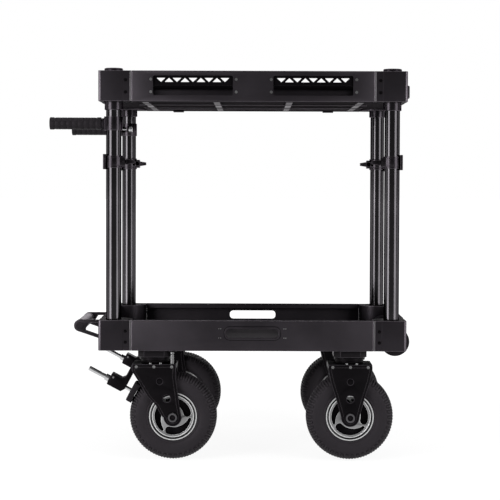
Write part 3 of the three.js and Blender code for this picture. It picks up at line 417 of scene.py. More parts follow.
def sawn(loops, low, high, ease, axis, place=(0, 0, 0)):
    """Solid over an outline with holes, in mm, with eased edges. Along x the outline is in
    (y, z), along y in (x, z) and along z in (x, y)."""
    drawing = bpy.data.curves.new("drawing", "CURVE")
    drawing.dimensions, drawing.fill_mode = "2D", "BOTH"
    drawing.extrude = (high - low) / 2 - ease
    drawing.bevel_depth, drawing.bevel_resolution, drawing.offset = ease, 1, -ease
    for loop in loops:
        line = drawing.splines.new("POLY")
        line.points.add(len(loop) - 1)
        for point, (a, b) in zip(line.points, loop):
            point.co = (a, b, 0, 1)
        line.use_cyclic_u = True
    shell = shell_of(baked(linked("drawing", drawing)))
    bmesh.ops.remove_doubles(shell, verts=shell.verts, dist=1e-4)
    bmesh.ops.recalc_face_normals(shell, faces=shell.faces)
    # Eased edges take the lighter edge colour: rub wear and painted highlight.
    rub_and_highlight = shell.faces.layers.float.new("wear_and_highlight")
    for face in shell.faces:
        face[rub_and_highlight] = 1.0 if 0.15 < abs(face.normal.z) < 0.95 else 0.0
    basis = {
        "x": Matrix(((0, 0, 1), (1, 0, 0), (0, 1, 0))).to_4x4(),
        "y": Matrix(((1, 0, 0), (0, 0, -1), (0, 1, 0))).to_4x4(),
        "z": Matrix(),
    }[axis]
    centre = (low + high) / 2 * (-1 if axis == "y" else 1)
    lift = Matrix.Translation((0, 0, centre))
    onto = Matrix.Translation(place) @ Matrix.Scale(mm, 4) @ basis @ lift
    bmesh.ops.transform(shell, matrix=onto, verts=shell.verts)
    return shell


def softened(points, radius, steps=4):
    """Outline with its corners rounded; radius is one number, or one for each corner."""
    count = len(points)
    radii = radius if isinstance(radius, (list, tuple)) else [radius] * count
    outline = []
    for i, corner in enumerate(points):
        corner = Vector(corner)
        before, after = Vector(points[i - 1]) - corner, Vector(points[(i + 1) % count]) - corner
        turn = before.angle(after)
        if radii[i] < 0.05 or turn > math.radians(177):
            outline.append(tuple(corner))
            continue
        reach = min(radii[i] / math.tan(turn / 2), before.length * 0.49, after.length * 0.49)
        start = corner + before.normalized() * reach
        stop = corner + after.normalized() * reach
        for k in range(steps + 1):
            t = k / steps
            outline.append(tuple((1 - t) ** 2 * start + 2 * t * (1 - t) * corner + t ** 2 * stop))
    return outline


def circle(x, y, radius, count=48):
    turns = [2 * math.pi * i / count for i in range(count)]
    return [(x + radius * math.cos(t), y + radius * math.sin(t)) for t in turns]


def outward(sign, near, far):
    """Two distances from the middle as a rising pair, on the side that the sign gives."""
    return sorted((sign * near, sign * far))


def corner_plan(ex, sy):
    """Plan round the post's axis: square outside, round inside, flanges set back."""
    inner, outer = corner_length - post_inset, post_inset
    split, step = inner - flange_length, outer - flange_step
    turn = outer - corner_radius
    points = [(-inner, step), (-split, step), (-split + flange_step, outer)]
    points += [(b, a) for a, b in arc(turn, turn, corner_radius, 0, 90, 6)]
    points += [(outer, -split + flange_step), (step, -split), (step, -inner)]
    points += arc(0, 0, inner, -90, -180, 10)
    return [(x * ex, y * sy) for x, y in points]


def casting(ex, sy, foot, bore):
    """Corner block whose outer rounding takes the lighter edge colour as a painted highlight, and a
    half-round bead at each rail, painted lighter as a highlight too.
    """
    plan = [corner_plan(ex, sy), circle(0, 0, bore)]
    block = sawn(plan, 0, rail_height, casting_ease, "z", foot)
    block.normal_update()
    # Painted highlight: the outer rounding of the casting takes the lighter edge colour.
    rub_and_highlight = block.faces.layers.float["wear_and_highlight"]
    for face in block.faces:
        if min(face.normal.x * ex, face.normal.y * sy) > 0.08 and abs(face.normal.z) < 0.1:
            face[rub_and_highlight] = 1.0
    shells = [(block, cast_black)]
    # Painted highlight: the beads are painted lighter than the casting.
    bead_place, bead_half, bead_rise = corner_length - post_inset, 3.1, 2.6
    skin = post_inset - flange_step - casting_ease
    for swap in (False, True):
        bead = [(-bead_place + 3.2 - bead_half * a, skin + bead_rise * b)
                for a, b in arc(0, 0, 1, 0, 180, 9)]
        bead = [((y, x) if swap else (x, y)) for x, y in bead]
        bead = [(x * ex, y * sy) for x, y in bead]
        shells.append((sawn([bead], 1, rail_height - 1, 0.4, "z", foot), bead_highlight))
    return shells


roller_rise, roller_inset, roller_width, shoulder = 17.5, 24, 28, 12
front_sleeve_extra, sleeve_ease = 3.5, 1.2
for side, end in corner_names:
    ex, sy = end_sign[end], side_sign[side]
    axis_place = middle(f"post_{side}_{end}")
    bore, wide = post_radius + bore_gap, post_radius + sleeve_wall
    tip = -(shelf_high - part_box(f"top_corner_{side}_{end}")[0].z) / mm
    if side == "front":
        tip -= front_sleeve_extra
    foot = Vector((axis_place.x, axis_place.y, shelf_high))
    sleeve = [(bore, 2), (bore, tip), (wide - sleeve_ease, tip), (wide, sleeve_ease + tip),
              (wide, 2)]
    shells = casting(ex, sy, foot, bore) + [(turned(sleeve, foot, wear_and_highlight=(2,)), satin_black)]
    made(f"top_corner_{side}_{end}_casting", shells, "frame", "anodised",
         f"top_corner_{side}_{end}")
    foot = Vector((axis_place.x, axis_place.y, shelf_low))
    plug = [(0, 0.2), (bore + 1, 0.2), (bore + 1, 8), (0, 8)]
    shells = casting(ex, sy, foot, bore) + [(turned(plug, foot), cast_black)]
    if end == "right":
        face = corner_length - post_inset
        cap = face + roller_width
        shaft = [(0, face - 3), (7, face - 3), (7, cap + 0.6), (shoulder - 1, cap + 0.6),
                 (shoulder, cap + 1.6), (shoulder, cap + 4.6), (shoulder - 1, cap + 5.6),
                 (5, cap + 5.6), (5, cap + 3), (0, cap + 3)]
        spot = foot + Vector(((post_inset - roller_inset) * mm, 0, roller_rise * mm))
        shaft = [(r, -sy * h) for r, h in shaft]
        shells.append((turned(shaft, spot, "y", 40), bolt_bright))
    made(f"lower_corner_{side}_{end}_casting", shells, "frame", "anodised",
         f"lower_corner_{side}_{end}")

# ---- Rails and decks ----
# Extruded aluminium side rails with a rolled top flange, sawn out for the windows and hand
# slots, and folded sheet decks between them with welded ribs. All black anodised.
# The rails' light edge colour is a painted highlight on their outer chamfers.
rail_black = finish(
    "anodised_rail", (0.038, 0.0375, 0.0388), (0.3, 0.3, 0.303), metal=0.95, roughness=0.48,
    gloss=0.12, grain=1800, depth=0.00005, tint=0.12,
)
deck_black = finish(
    "anodised_deck", (0.04, 0.04, 0.0404), (0.09, 0.09, 0.092), metal=0.0, roughness=0.6,
    gloss=0.003, grain=1600, depth=0.00006, tint=0.4,
)
# Near-black coat for the lattice inserts, also used as painted shade inside the back rail's lip and
# round the bezels.
lattice_and_shade_black = finish(
    "lattice_coat_and_painted_shade", (0.0035, 0.0034, 0.0036), (0.02, 0.02, 0.02), metal=0.0, roughness=0.6,
    gloss=0.02, grain=1600, depth=0.00006,
)
# Matt black with no gloss, for the rib strips and as painted shade on the undersides.
matt_black_and_underside_shade = finish(
    "matt_black_and_painted_underside_shade", (0.042, 0.042, 0.042), (0.17, 0.17, 0.17), metal=0.0, roughness=0.7,
    gloss=0.0, grain=1600, depth=0.00005,
)
rib_grey = finish(
    "brushed_rib", (0.11, 0.11, 0.112), (0.2, 0.2, 0.2), metal=0.8, roughness=0.42, gloss=0.4,
    grain=1100, depth=0.00005, tint=0.6,
)
half_width, half_length = 296.5, 444.5
full_length = 2 * half_length
half_rail = half_length - corner_length - 0.3


def shade_below(piece):
    """Give the faces that look straight down a matt black with no gloss: painted shade on the
    undersides.
    """
    piece.data.materials.append(matt_black_and_underside_shade)
    for face in piece.data.polygons:
        if face.normal.z < -0.95:
            face.material_index = len(piece.data.materials) - 1


def box_points(x, z):
    return [(x[0], z[0]), (x[1], z[0]), (x[1], z[1]), (x[0], z[1])]


def bar(x, y, z, ease, place):
    """Plain bar with eased edges, from ranges in mm."""
    return sawn([box_points(x, y)], z[0], z[1], ease, "z", place)


def drilled(shell, cutters):
    """Shell with other closed shells cut out of it."""
    items = []
    for part in [shell] + cutters:
        mesh = bpy.data.meshes.new("stock")
        part.to_mesh(mesh)
        part.free()
        items.append(linked("stock", mesh))
    stock, tools = items[0], items[1:]
    for tool in tools:
        cut = stock.modifiers.new("cut", "BOOLEAN")
        cut.operation, cut.solver, cut.object = "DIFFERENCE", "EXACT", tool
    return shell_of(baked(stock, *tools))


def rail_section(sy):
    """Section of a rail: a wall with a foot below and a lip turned down at the top."""
    foot, wall, lip, flange = 24, 5, 17, 20
    points = [(0, 0), (foot, 0), (foot, 5), (wall, 5), (wall, 83), (lip, 83), (lip, 74),
              (flange, 74), (flange, rail_height), (0, rail_height)]
    outline = softened(points, [1.8, 0, 0, 3, 3, 0, 0, 0, 0, 1.8], 3)
    return [(sy * (half_width - depth), height) for depth, height in outline]


def slot_outline(growth):
    """Round-ended outline of the hand slot, grown or shrunk."""
    rise, half, tall = 51.3, 77 + growth, 15.25 + growth
    return softened(box_points((-half, half), (rise - tall, rise + tall)), tall * 0.99, 12)


window_length, window_centre, window_low, window_height = 229.5, 172.75, 17, 57
window_top = window_low + window_height
upper = Vector((centre_x, 0, shelf_high))
lower = Vector((centre_x, 0, shelf_low))
for level, place in (("top", upper), ("lower", lower)):
    for side in ("front", "back"):
        sy = side_sign[side]
        node = f"{level}_rail_{side}"
        stock = sawn([rail_section(sy)], -half_rail, half_rail, 0.8, "x", place)
        # Painted highlight: the outer chamfers of the rail take the light edge colour.
        rub_and_highlight = stock.faces.layers.float["wear_and_highlight"]
        for face in stock.faces:
            if face.normal.y * sy > 0.25 and abs(face.normal.z) > 0.25:
                face[rub_and_highlight] = 0.8
        through = outward(sy, half_width - 12, half_width + 4)
        extra = []
        if node == "top_rail_front":
            cutters = []
            for x in (-window_centre, window_centre):
                sides = (x - window_length / 2, x + window_length / 2)
                window = softened(box_points(sides, (window_low, window_top)), 6, 6)
                cutters.append(sawn([window], *through, 0.01, "y", place))
            stock = drilled(stock, cutters)
        if level == "lower":
            stock = drilled(stock, [sawn([slot_outline(0.2)], *through, 0.01, "y", place)])
            bezel = sawn([slot_outline(3.9), slot_outline(-2)],
                         *outward(sy, half_width - 3, half_width + 1.5), 1.1, "y", place)
            rub_and_highlight = bezel.faces.layers.float["wear_and_highlight"]
            for face in bezel.faces:
                face[rub_and_highlight] = 0.0
            # Painted shadow: a thin near-black ring round the bezel.
            seat = sawn([slot_outline(5.4), slot_outline(3.4)],
                        *outward(sy, half_width - 1, half_width + 0.6), 0.2, "y", place)
            extra = [(bezel, rail_black), (seat, lattice_and_shade_black)]
        if node == "top_rail_back":
            # Painted shade: a thin near-black sheet inside the back rail's lip.
            lip = box_points((-half_rail, half_rail), (73, rail_height))
            lip = sawn([lip], half_width - 20.7, half_width - 19.9, 0.2, "y", place)
            extra.append((lip, lattice_and_shade_black))
            for x in (-0.274 * full_length, 0.274 * full_length):
                tab = bar((x - 17, x + 17), (half_width - 24, half_width - 5), (-4, 4), 0.8, place)
                extra.append((tab, cast_black))
        shells = [(stock, rail_black)] + extra
        shade_below(made(f"{node}_extrusion", shells, "frame", "anodised", node))


def eased_copy(node, width):
    """The solid's own form, merged, with its sharp edges eased."""
    smallest_lightened_face = 4e-4
    shell = bmesh.new()
    shell.from_mesh(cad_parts[node].data)
    bmesh.ops.remove_doubles(shell, verts=shell.verts, dist=2e-6)
    bmesh.ops.dissolve_limit(
        shell, angle_limit=math.radians(0.5), verts=shell.verts, edges=shell.edges
    )
    # Small new bevel faces take the lighter edge colour: rub wear and painted highlight.
    rub_and_highlight = shell.faces.layers.float.new("wear_and_highlight")
    before = set(shell.faces)
    fold = math.radians(40)
    sharp = [e for e in shell.edges if len(e.link_faces) == 2 and e.calc_face_angle(0) > fold]
    bmesh.ops.bevel(shell, geom=sharp, offset=width * mm, segments=2, profile=0.6,
                    affect="EDGES", clamp_overlap=True)
    for face in shell.faces:
        new = face not in before
        face[rub_and_highlight] = 1.0 if new and face.calc_area() < smallest_lightened_face else 0.0
    return shell


for level in ("top", "lower"):
    sheet = [(eased_copy(f"{level}_deck", 0.5), deck_black)]
    shade_below(made(f"{level}_deck_sheet", sheet, "frame", "anodised", f"{level}_deck"))

rib_half = 9
ribs = []
for share in (-0.355, -0.12, 0.12, 0.355):
    x = share * full_length
    for y in ((-222, -164), (-140, 66), (92, half_width - 26)):
        ribs.append((bar((x - rib_half, x + rib_half), y, (0.9, 2.4), 0.3, upper), rib_grey))
for y in (-61, 118, 205):
    along = (-half_rail + 4, half_rail - 4)
    ribs.append((bar(along, (y - rib_half, y + rib_half), (0.3, 2.4), 0.9, upper), matt_black_and_underside_shade))
made("deck_rib_strips", ribs, "frame", "anodised")

# ---- Window lattices ----
# Machined aluminium inserts screwed behind the two windows: a row of triangles along the
# top and a wide opening below them.
chord, strut, band, bays, plate_depth = 6.6, 10.2, 11.8, 5, 4
for end in ("left", "right"):
    x0 = end_sign[end] * window_centre
    half = window_length / 2
    band_top = window_top - chord
    band_low = band_top - band
    bay = window_length / bays
    base = bay - 2 * strut
    opening = box_points((x0 - half, x0 + half), (window_low, band_low - 10))
    loops = [box_points((x0 - half - 15, x0 + half + 15), (9, 82.7)), softened(opening, 6, 5)]
    for first, count, flat, point in (
        (0.5, bays, band_top, band_low), (1, bays - 1, band_low, band_top)
    ):
        for i in range(count):
            m = x0 - half + (i + first) * bay
            triangle = [(m - base / 2, flat), (m, point), (m + base / 2, flat)]
            loops.append(softened(triangle, 0.9, 3))
    # The insert is near-black: its own dark coat, deepened as painted shade inside the window.
    back = -half_width + 5.3
    insert = sawn(loops, back, back + plate_depth, 0.5, "y", upper)
    made(f"window_lattice_{end}_insert", [(insert, lattice_and_shade_black)], "frame", "anodised",
         f"window_lattice_{end}")

# ---- Shelf clamps and their levers ----
# Cast collars, split and drawn tight by a screw through two ears, with a flat outward plate.
# The forked lever turns the screw. Black coated.
screw_steel = finish(
    "black_screw", (0.035, 0.035, 0.036), (0.15, 0.15, 0.15), metal=0.9, roughness=0.3,
    gloss=0.5, grain=1500, depth=0.00003,
)
collar_radius, collar_bore, ear, ear_root, split_root = 25.25, 22.55, 16.97, 19.2, 22.4
clamp_screw = post_radius + bore_gap + 2.6 + 3.47
for side, end in corner_names:
    ex, sy = end_sign[end], side_sign[side]
    low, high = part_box(f"shelf_clamp_{side}_{end}")
    post_axis = middle(f"post_{side}_{end}")
    spot = Vector((post_axis.x, post_axis.y, (low.z + high.z) / 2))
    ear_end = abs((low.x if ex > 0 else high.x) - spot.x) / mm
    collar = [(-ear_end, -ear), (-ear_root, -ear)]
    collar += arc(0, 0, collar_radius, -136, 136, 34)
    collar += [(-ear_root, ear), (-ear_end, ear), (-ear_end, 1.5), (-split_root, 1.5)]
    collar += arc(0, 0, collar_bore, 176, -176, 44)
    collar += [(-split_root, -1.5), (-ear_end, -1.5)]
    collar = [(x * ex, y) for x, y in collar]
    rim = [circle(0, 0, collar_radius, 60), circle(0, 0, collar_bore, 60)]
    plate = softened(box_points((-20, 20), (-22, 22)), 5, 5)
    shells = [
        (sawn([collar], -13, 13, 0.8, "z", spot), satin_black),
        (sawn(rim, -17.5, -11, 0.9, "z", spot), satin_black),
        (sawn(rim, 11, 17.5, 0.9, "z", spot), satin_black),
        (sawn([plate], *outward(ex, 22.6, 29.75), 1.1, "x", spot), cast_black),
    ]
    made(f"shelf_clamp_{side}_{end}_collar", shells, f"clamp_{side}_{end}", "cast",
         f"shelf_clamp_{side}_{end}")

    low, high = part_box(f"clamp_lever_{side}_{end}")
    pivot = Vector((spot.x - ex * clamp_screw * mm, 0, spot.z))
    near, far = (low.y / mm, low.y / mm + 10) if sy > 0 else (high.y / mm - 10, high.y / mm)
    arm = [(6, 7), (-4, 8.2), (-16, 6.6), (-27, 4.8), (-30, 3), (-28.6, 0.8)]
    arm += [(x, -z) for x, z in reversed(arm)]
    arm = softened([(x * ex, z) for x, z in arm], 1.6, 3)
    inner, outer = (near, near + 6) if sy > 0 else (far - 6, far)
    hub = [(0, near), (7, near), (8, near + 1), (8, far - 1), (7, far), (0, far)]
    start, stop = sorted((near if sy < 0 else far, spot.y / mm + sy * 17.6))
    shaft = [(0, start), (3, start), (3, stop), (0, stop)]
    shells = [
        (sawn([arm], inner, outer, 1.0, "y", pivot), cast_black),
        (turned(hub, pivot, "y", 40), cast_black),
        (turned(shaft, pivot, "y", 24), screw_steel),
    ]
    made(f"clamp_lever_{side}_{end}_arm", shells, f"lever_{side}_{end}", "cast",
         f"clamp_lever_{side}_{end}")

# ---- Push handles ----
# Two rubber grips on stub bars of cast clamps, each clamp drawn tight on its post by a
# knurled thumb screw of bright steel.
grip_rubber = finish(
    "grip_rubber", (0.009, 0.0088, 0.0092), (0.02, 0.02, 0.02), metal=0.0, roughness=0.6,
    gloss=0.16, grain=1300, depth=0.0002,
)


def repeating_tree(name, *inputs):
    """New tree of nodes with named inputs, and the outputs of its input node."""
    tree = bpy.data.node_groups.new(name, "GeometryNodeTree")
    tree.interface.new_socket("Geometry", in_out="OUTPUT", socket_type="NodeSocketGeometry")
    for label, kind in (("Geometry", "Geometry"), *inputs, ("Finish", "Material")):
        tree.interface.new_socket(label, in_out="INPUT", socket_type=f"NodeSocket{kind}")
    return tree, added(tree, "NodeGroupInput").outputs


def end_with_copies(tree, points, shape, rotation, finish_input):
    """Put a turned copy of a shape on each point, make them real and give them a finish."""
    copies, real = (added(tree, f"GeometryNode{kind}")
                    for kind in ("InstanceOnPoints", "RealizeInstances"))
    paint, result = added(tree, "GeometryNodeSetMaterial"), added(tree, "NodeGroupOutput")
    wire(
        tree,
        (points, copies.inputs["Points"]),
        (shape, copies.inputs["Instance"]),
        (rotation, copies.inputs["Rotation"]),
        (copies.outputs[0], real.inputs[0]),
        (real.outputs[0], paint.inputs["Geometry"]),
        (finish_input, paint.inputs["Material"]),
        (paint.outputs[0], result.inputs[0]),
    )


def ring_tree():
    """Nodes that repeat a shape evenly round an axis through a centre."""
    tree, given = repeating_tree(
        "ring_of_copies", ("Count", "Int"), ("Axis", "Vector"), ("Centre", "Vector")
    )
    points, index = added(tree, "GeometryNodePoints"), added(tree, "GeometryNodeInputIndex")
    rotation = added(tree, "FunctionNodeAxisAngleToRotation")
    share = reckoned(tree, "DIVIDE", index.outputs[0], given["Count"])
    wire(
        tree,
        (given["Count"], points.inputs["Count"]),
        (given["Centre"], points.inputs["Position"]),
        (given["Axis"], rotation.inputs["Axis"]),
        (reckoned(tree, "MULTIPLY", share, 2 * math.pi), rotation.inputs["Angle"]),
    )
    end_with_copies(
        tree, points.outputs[0], given["Geometry"], rotation.outputs[0], given["Finish"]
    )
    return tree


def repeated(name, mesh, tree, settings, body):
    """What a tree of nodes makes from a mesh, as one plain mesh on a body."""
    seed = linked("seed", mesh)
    repeat = seed.modifiers.new("repeat", "NODES")
    repeat.node_group = tree
    for item in tree.interface.items_tree:
        if item.in_out == "INPUT" and item.name in settings:
            repeat[item.identifier] = settings[item.name]
    result = baked(seed)
    result.name = name
    return on_body(name, result, body)


ring_of_copies = ring_tree()


def around(name, shell, count, axis, centre, paint, body):
    """Copies of a small shell round an axis."""
    if not shell.faces.layers.float.get("wear_and_highlight"):
        shell.faces.layers.float.new("wear_and_highlight")
    mesh = bpy.data.meshes.new("seed")
    shell.to_mesh(mesh)
    shell.free()
    settings = {"Count": count, "Axis": axis, "Centre": tuple(centre), "Finish": paint}
    return repeated(name, mesh, ring_of_copies, settings, body)


stub_radius, flange_radius, grip_radius, rib_radius, rib_count = 10.7, 15.5, 18, 17.25, 7
for side in ("front", "back"):
    sy = side_sign[side]
    low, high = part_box(f"handle_clamp_{side}")
    post_axis = middle(f"post_{side}_left")
    spot = Vector((post_axis.x, post_axis.y, (low.z + high.z) / 2))
    lug_end = abs((low.y if sy > 0 else high.y) - spot.y) / mm
    bar_end = (low.x - spot.x) / mm
    rim = [circle(0, 0, collar_radius, 60), circle(0, 0, collar_bore, 60)]
    square = softened(box_points((-26.75, -8), (-17, 17)), 2.5, 4)
    bored = turned([(0, -24), (collar_bore, -24), (collar_bore, 24), (0, 24)], spot, steps=60)
    outboard = drilled(sawn([square], -20, 20, 1.2, "z", spot), [bored])
    shells = [(sawn(rim, -20, 20, 1.1, "z", spot), satin_black), (outboard, cast_black)]
    for x, root in ((-26.75, 17), (-4.15, 23.5)):
        lug = [(x, -sy * root), (x + 5, -sy * root), (x + 5, -sy * lug_end), (x, -sy * lug_end)]
        shells.append((sawn([softened(lug, [0, 0, 2, 2], 3)], -11, 11, 1.0, "z", spot), cast_black))
    stub = [(0, -22.6), (stub_radius, -22.6), (stub_radius, bar_end + 1),
            (stub_radius - 1, bar_end), (0, bar_end)]
    shells.append((turned(stub, spot, "x", 40), cast_black))
    flange = [(10.6, -27), (flange_radius - 1, -27), (flange_radius, -28), (flange_radius, -33),
              (flange_radius - 1, -34), (10.6, -34)]
    shells.append((turned(flange, spot, "x", 48, wear_and_highlight=(1, 3)), cast_black))
    made(f"handle_clamp_{side}_body", shells, f"handle_{side}", "cast", f"handle_clamp_{side}")

    low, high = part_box(f"handle_grip_{side}")
    near, far = (high.x - spot.x) / mm, (low.x - spot.x) / mm
    profile = [(0, far), (14, far)] + arc(16.2, far + 1.8, 1.8, 270, 360, 4)
    profile += [(grip_radius, far + 11), (17.2, far + 12.5)]
    start, stop = far + 16, near - 16
    for i in range(rib_count):
        a = start + (stop - start) * i / rib_count
        b = start + (stop - start) * (i + 1) / rib_count
        profile += [(16.6, a), (rib_radius, a + 1.4), (rib_radius, b - 1.4), (16.6, b)]
    profile += [(17.2, near - 12.5), (grip_radius, near - 11), (grip_radius, near - 1),
                (17, near), (11, near), (11, far + 6), (0, far + 6)]
    made(f"handle_grip_{side}_sleeve", [(turned(profile, spot, "x", 64), grip_rubber)],
         f"handle_{side}", "rubber", f"handle_grip_{side}")

    low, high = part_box(f"handle_screw_{side}")
    spot = Vector((post_axis.x, (low.y + high.y) / 2, (low.z + high.z) / 2))
    head, tip = (high.x - spot.x) / mm, (low.x - spot.x) / mm
    seat = head - 12.5
    profile = [(0, tip), (2.1, tip), (2.6, tip + 0.6), (2.6, seat), (7.4, seat),
               (8.2, seat + 0.8), (8.2, head - 1), (7.2, head), (4, head), (3.4, head - 0.7),
               (0, head - 0.7)]
    made(f"handle_screw_{side}_body", [(turned(profile, spot, "x", 40), bolt_bright)],
         f"handle_screw_{side}", "bright", f"handle_screw_{side}")
    tooth = bmesh.new()
    tooth_place = Matrix.Translation(((seat + 6.25) * mm, 0, 8.35 * mm))
    tooth_size = Matrix.Diagonal((10.4 * mm, 0.9 * mm, 1.1 * mm, 1))
    bmesh.ops.create_cube(tooth, size=1, matrix=tooth_place @ tooth_size)
    around(f"handle_screw_{side}_knurl", tooth, 30, (1, 0, 0), spot, bolt_bright,
           f"handle_screw_{side}")

# ---- Lift bar and end handle ----
# Low on the left end a grey tube between two plate brackets, to lift or tow the cart by. A
# bow handle of bent bar is bolted to the right end of the upper shelf.
lift_grey = finish(
    "lift_tube", (0.10, 0.10, 0.102), (0.25, 0.25, 0.25), metal=0.9, roughness=0.38, gloss=0.4,
    grain=900, depth=0.00004, tint=0.7,
)
reach, rise, root, end_radius = 72.5, 0.63 * rail_height, 0.139 * rail_height, 17.9
arm_width, arm_depth = 9.5, 10.5
end_face = -half_length - 0.3
tip_x = end_face - reach
slope = math.atan2(rise - end_radius - root, reach)
outline = [(end_face, rise + end_radius)]
for i in range(25):
    t = math.pi / 2 + (math.pi - slope) * i / 24
    outline.append((tip_x + end_radius * math.cos(t), rise + end_radius * math.sin(t)))
outline.append((end_face, root))


def lower_edge(x):
    """Height of the hole's lower side, which runs along the slope."""
    return root + arm_depth / math.cos(slope) + (end_face - x) * math.tan(slope)


arm_top, inside = rise + end_radius - arm_width, end_face - arm_width
start = tip_x + end_radius
hole = [(inside, arm_top), (start + 10.5, arm_top), (start, lower_edge(start) + 4.75),
        (start, lower_edge(start)), (inside, lower_edge(inside))]
bracket = [outline, softened(hole, 2.5, 4)]
shells = [(sawn(bracket, y - 4, y + 4, 1.0, "y", lower), cast_black) for y in (-124, 124)]
tube_place = lower + Vector((tip_x * mm, 0, rise * mm))
half_tube = [(13.5, -119.8), (16.5, -119.8), (16.5, -104), (17.6, -103.6), (17.6, -98),
             (16.5, -97.6)]
tube = half_tube + [(r, -h) for r, h in reversed(half_tube)]
shells.append((turned(tube, tube_place, "y", 64), lift_grey))
for y in (-1, 1):
    cap = [(0, y * 119), (11, y * 119), (11, y * 127.8), (10, y * 128.8), (0, y * 128.8)]
    shells.append((turned(cap, tube_place, "y", 40), cast_black))
made("lift_bar_assembly", shells, "frame", "anodised", "lift_bar")

low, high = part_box("end_handle")
bow_reach, bow_bar, bow_half = (high.x - low.x) / mm, 11, 80
inside = bow_half - bow_bar
outer = softened(box_points((0, bow_reach), (-bow_half, bow_half)), [0, 12, 12, 0], 6)
inner = softened(box_points((0, bow_reach - bow_bar), (inside, -inside)), [0, 5, 5, 0], 5)
bow_place = Vector((low.x, 0, low.z))
bow = sawn([outer + inner], 0, (high.z - low.z) / mm, 3.2, "z", bow_place)
made("end_handle_bow", [(bow, cast_black)], "frame", "cast", "end_handle")

# ---- Loading rollers ----
# Hard rubber wheels beside the lower right corners that carry the cart's end when it is
# tipped into a van, each on a shoulder bolt.
roller_rubber = finish(
    "roller_rubber", (0.009, 0.0089, 0.0092), (0.03, 0.03, 0.03), metal=0.0, roughness=0.5,
    gloss=0.15, grain=900, depth=0.0001,
)
hub_grey = finish(
    "roller_hub", (0.06, 0.06, 0.061), (0.12, 0.12, 0.12), metal=0.6, roughness=0.4, gloss=0.4,
    grain=900, depth=0.00005,
)
for side in ("front", "back"):
    spot = middle(f"loading_roller_{side}")
    tread = [(30, -14), (38, -14)] + arc(38.5, -10, 4, 270, 360, 4)
    tread += [(42.5, -4), (41.6, -3), (41.6, 3), (42.5, 4)] + arc(38.5, 10, 4, 0, 90, 4)
    tread += [(30, 14)]
    hub = [(7.4, -13), (14, -13), (14, -10), (30.2, -10)]
    hub += [(r, -h) for r, h in reversed(hub)]
    shells = [(turned(tread, spot, "y"), roller_rubber), (turned(hub, spot, "y"), hub_grey)]
    made(f"loading_roller_{side}_wheel", shells, f"roller_{side}", "rubber",
         f"loading_roller_{side}")

# ---- Tyres ----
# Pneumatic tyres with a bulged side wall, ribbed tread and short lugs round both shoulders,
# moulded in one piece with them.
tyre_rubber = finish(
    "tyre_rubber", (0.019, 0.0187, 0.0193), (0.04, 0.04, 0.04), metal=0.0, roughness=0.62,
    gloss=0.2, grain=1700, depth=0.00025,
)
carcass_half = [
    (70.3, 33), (72.5, 35.5), (75.5, 36.2), (77, 35.4), (80, 37), (88, 39.4), (97, 40),
    (104, 39.2), (107.5, 38.2), (110, 36.2), (113.5, 33.6), (117, 29.8), (119.8, 24.6),
    (121.6, 19), (122.8, 13.3), (123, 10.6), (123.2, 9.2), (126.2, 8.2), (126.7, 4.2),
    (125, 3.2), (125, 1.2), (127, 0.6),
]
lug_crown = [(114.5, 36.8), (118.6, 33.6), (121.8, 28.6), (124.4, 22.2), (126.2, 14.5),
             (126.8, 11.2), (121, 11), (118, 19), (113, 28)]
lug_count, lug_highlight = 46, 0.55
for side, end in corner_names:
    spot = middle(f"tyre_{side}_{end}")
    outside = [(r, -h) for r, h in carcass_half] + [(r, h) for r, h in reversed(carcass_half)]
    lining = [(70.3, 28), (98, 33), (119, 12), (119, -12), (98, -33), (70.3, -28)]
    carcass = turned(outside + lining, spot, "y", 120)
    made(f"tyre_{side}_{end}_carcass", [(carcass, tyre_rubber)], f"wheel_{side}_{end}", "tyre",
         f"tyre_{side}_{end}")
    lugs = bmesh.new()
    for sign, lead in ((-1, 0.0), (1, 0.5)):
        for offset, reach_in, step_in in ((0.0, 106.5, 39.2), (1.0, 111, 38)):
            turn = Matrix.Rotation(math.pi / lug_count * (offset + lead), 4, "Y")
            section = [(reach_in, step_in)] + lug_crown + [(reach_in, 33.5)]
            rows = []
            for z, trim in ((-2.3, 1.2), (-1.5, 0), (1.5, 0), (2.3, 1.2)):
                row = [Vector((z * mm, sign * (h - trim * 0.5) * mm, (r - trim) * mm))
                       for r, h in section]
                rows.append([lugs.verts.new(turn @ point) for point in row])
            for a, b in zip(rows, rows[1:]):
                for i in range(len(section)):
                    j = (i + 1) % len(section)
                    lugs.faces.new([a[i], a[j], b[j], b[i]])
            lugs.faces.new(rows[0])
            lugs.faces.new(list(reversed(rows[-1])))
    bmesh.ops.recalc_face_normals(lugs, faces=lugs.faces)
    # Painted highlight: every lug face takes the tyre's lighter edge colour so that the lugs stand
    # out.
    rub_and_highlight = lugs.faces.layers.float.new("wear_and_highlight")
    for face in lugs.faces:
        face[rub_and_highlight] = lug_highlight
    around(f"tyre_{side}_{end}_lugs", lugs, lug_count, (0, 1, 0), spot, tyre_rubber,
           f"wheel_{side}_{end}")

# ---- Rims ----
# Cast aluminium rims, left bright, with a machined lip, a turned groove inside it and three
# comma shaped slots. A bolt with a recessed end is each wheel's axle.
rim_bright = finish(
    "machined_rim", (0.26, 0.26, 0.264), (0.8, 0.8, 0.8), metal=1.0, roughness=0.36, gloss=0.5,
    grain=1200, depth=0.00004,
)
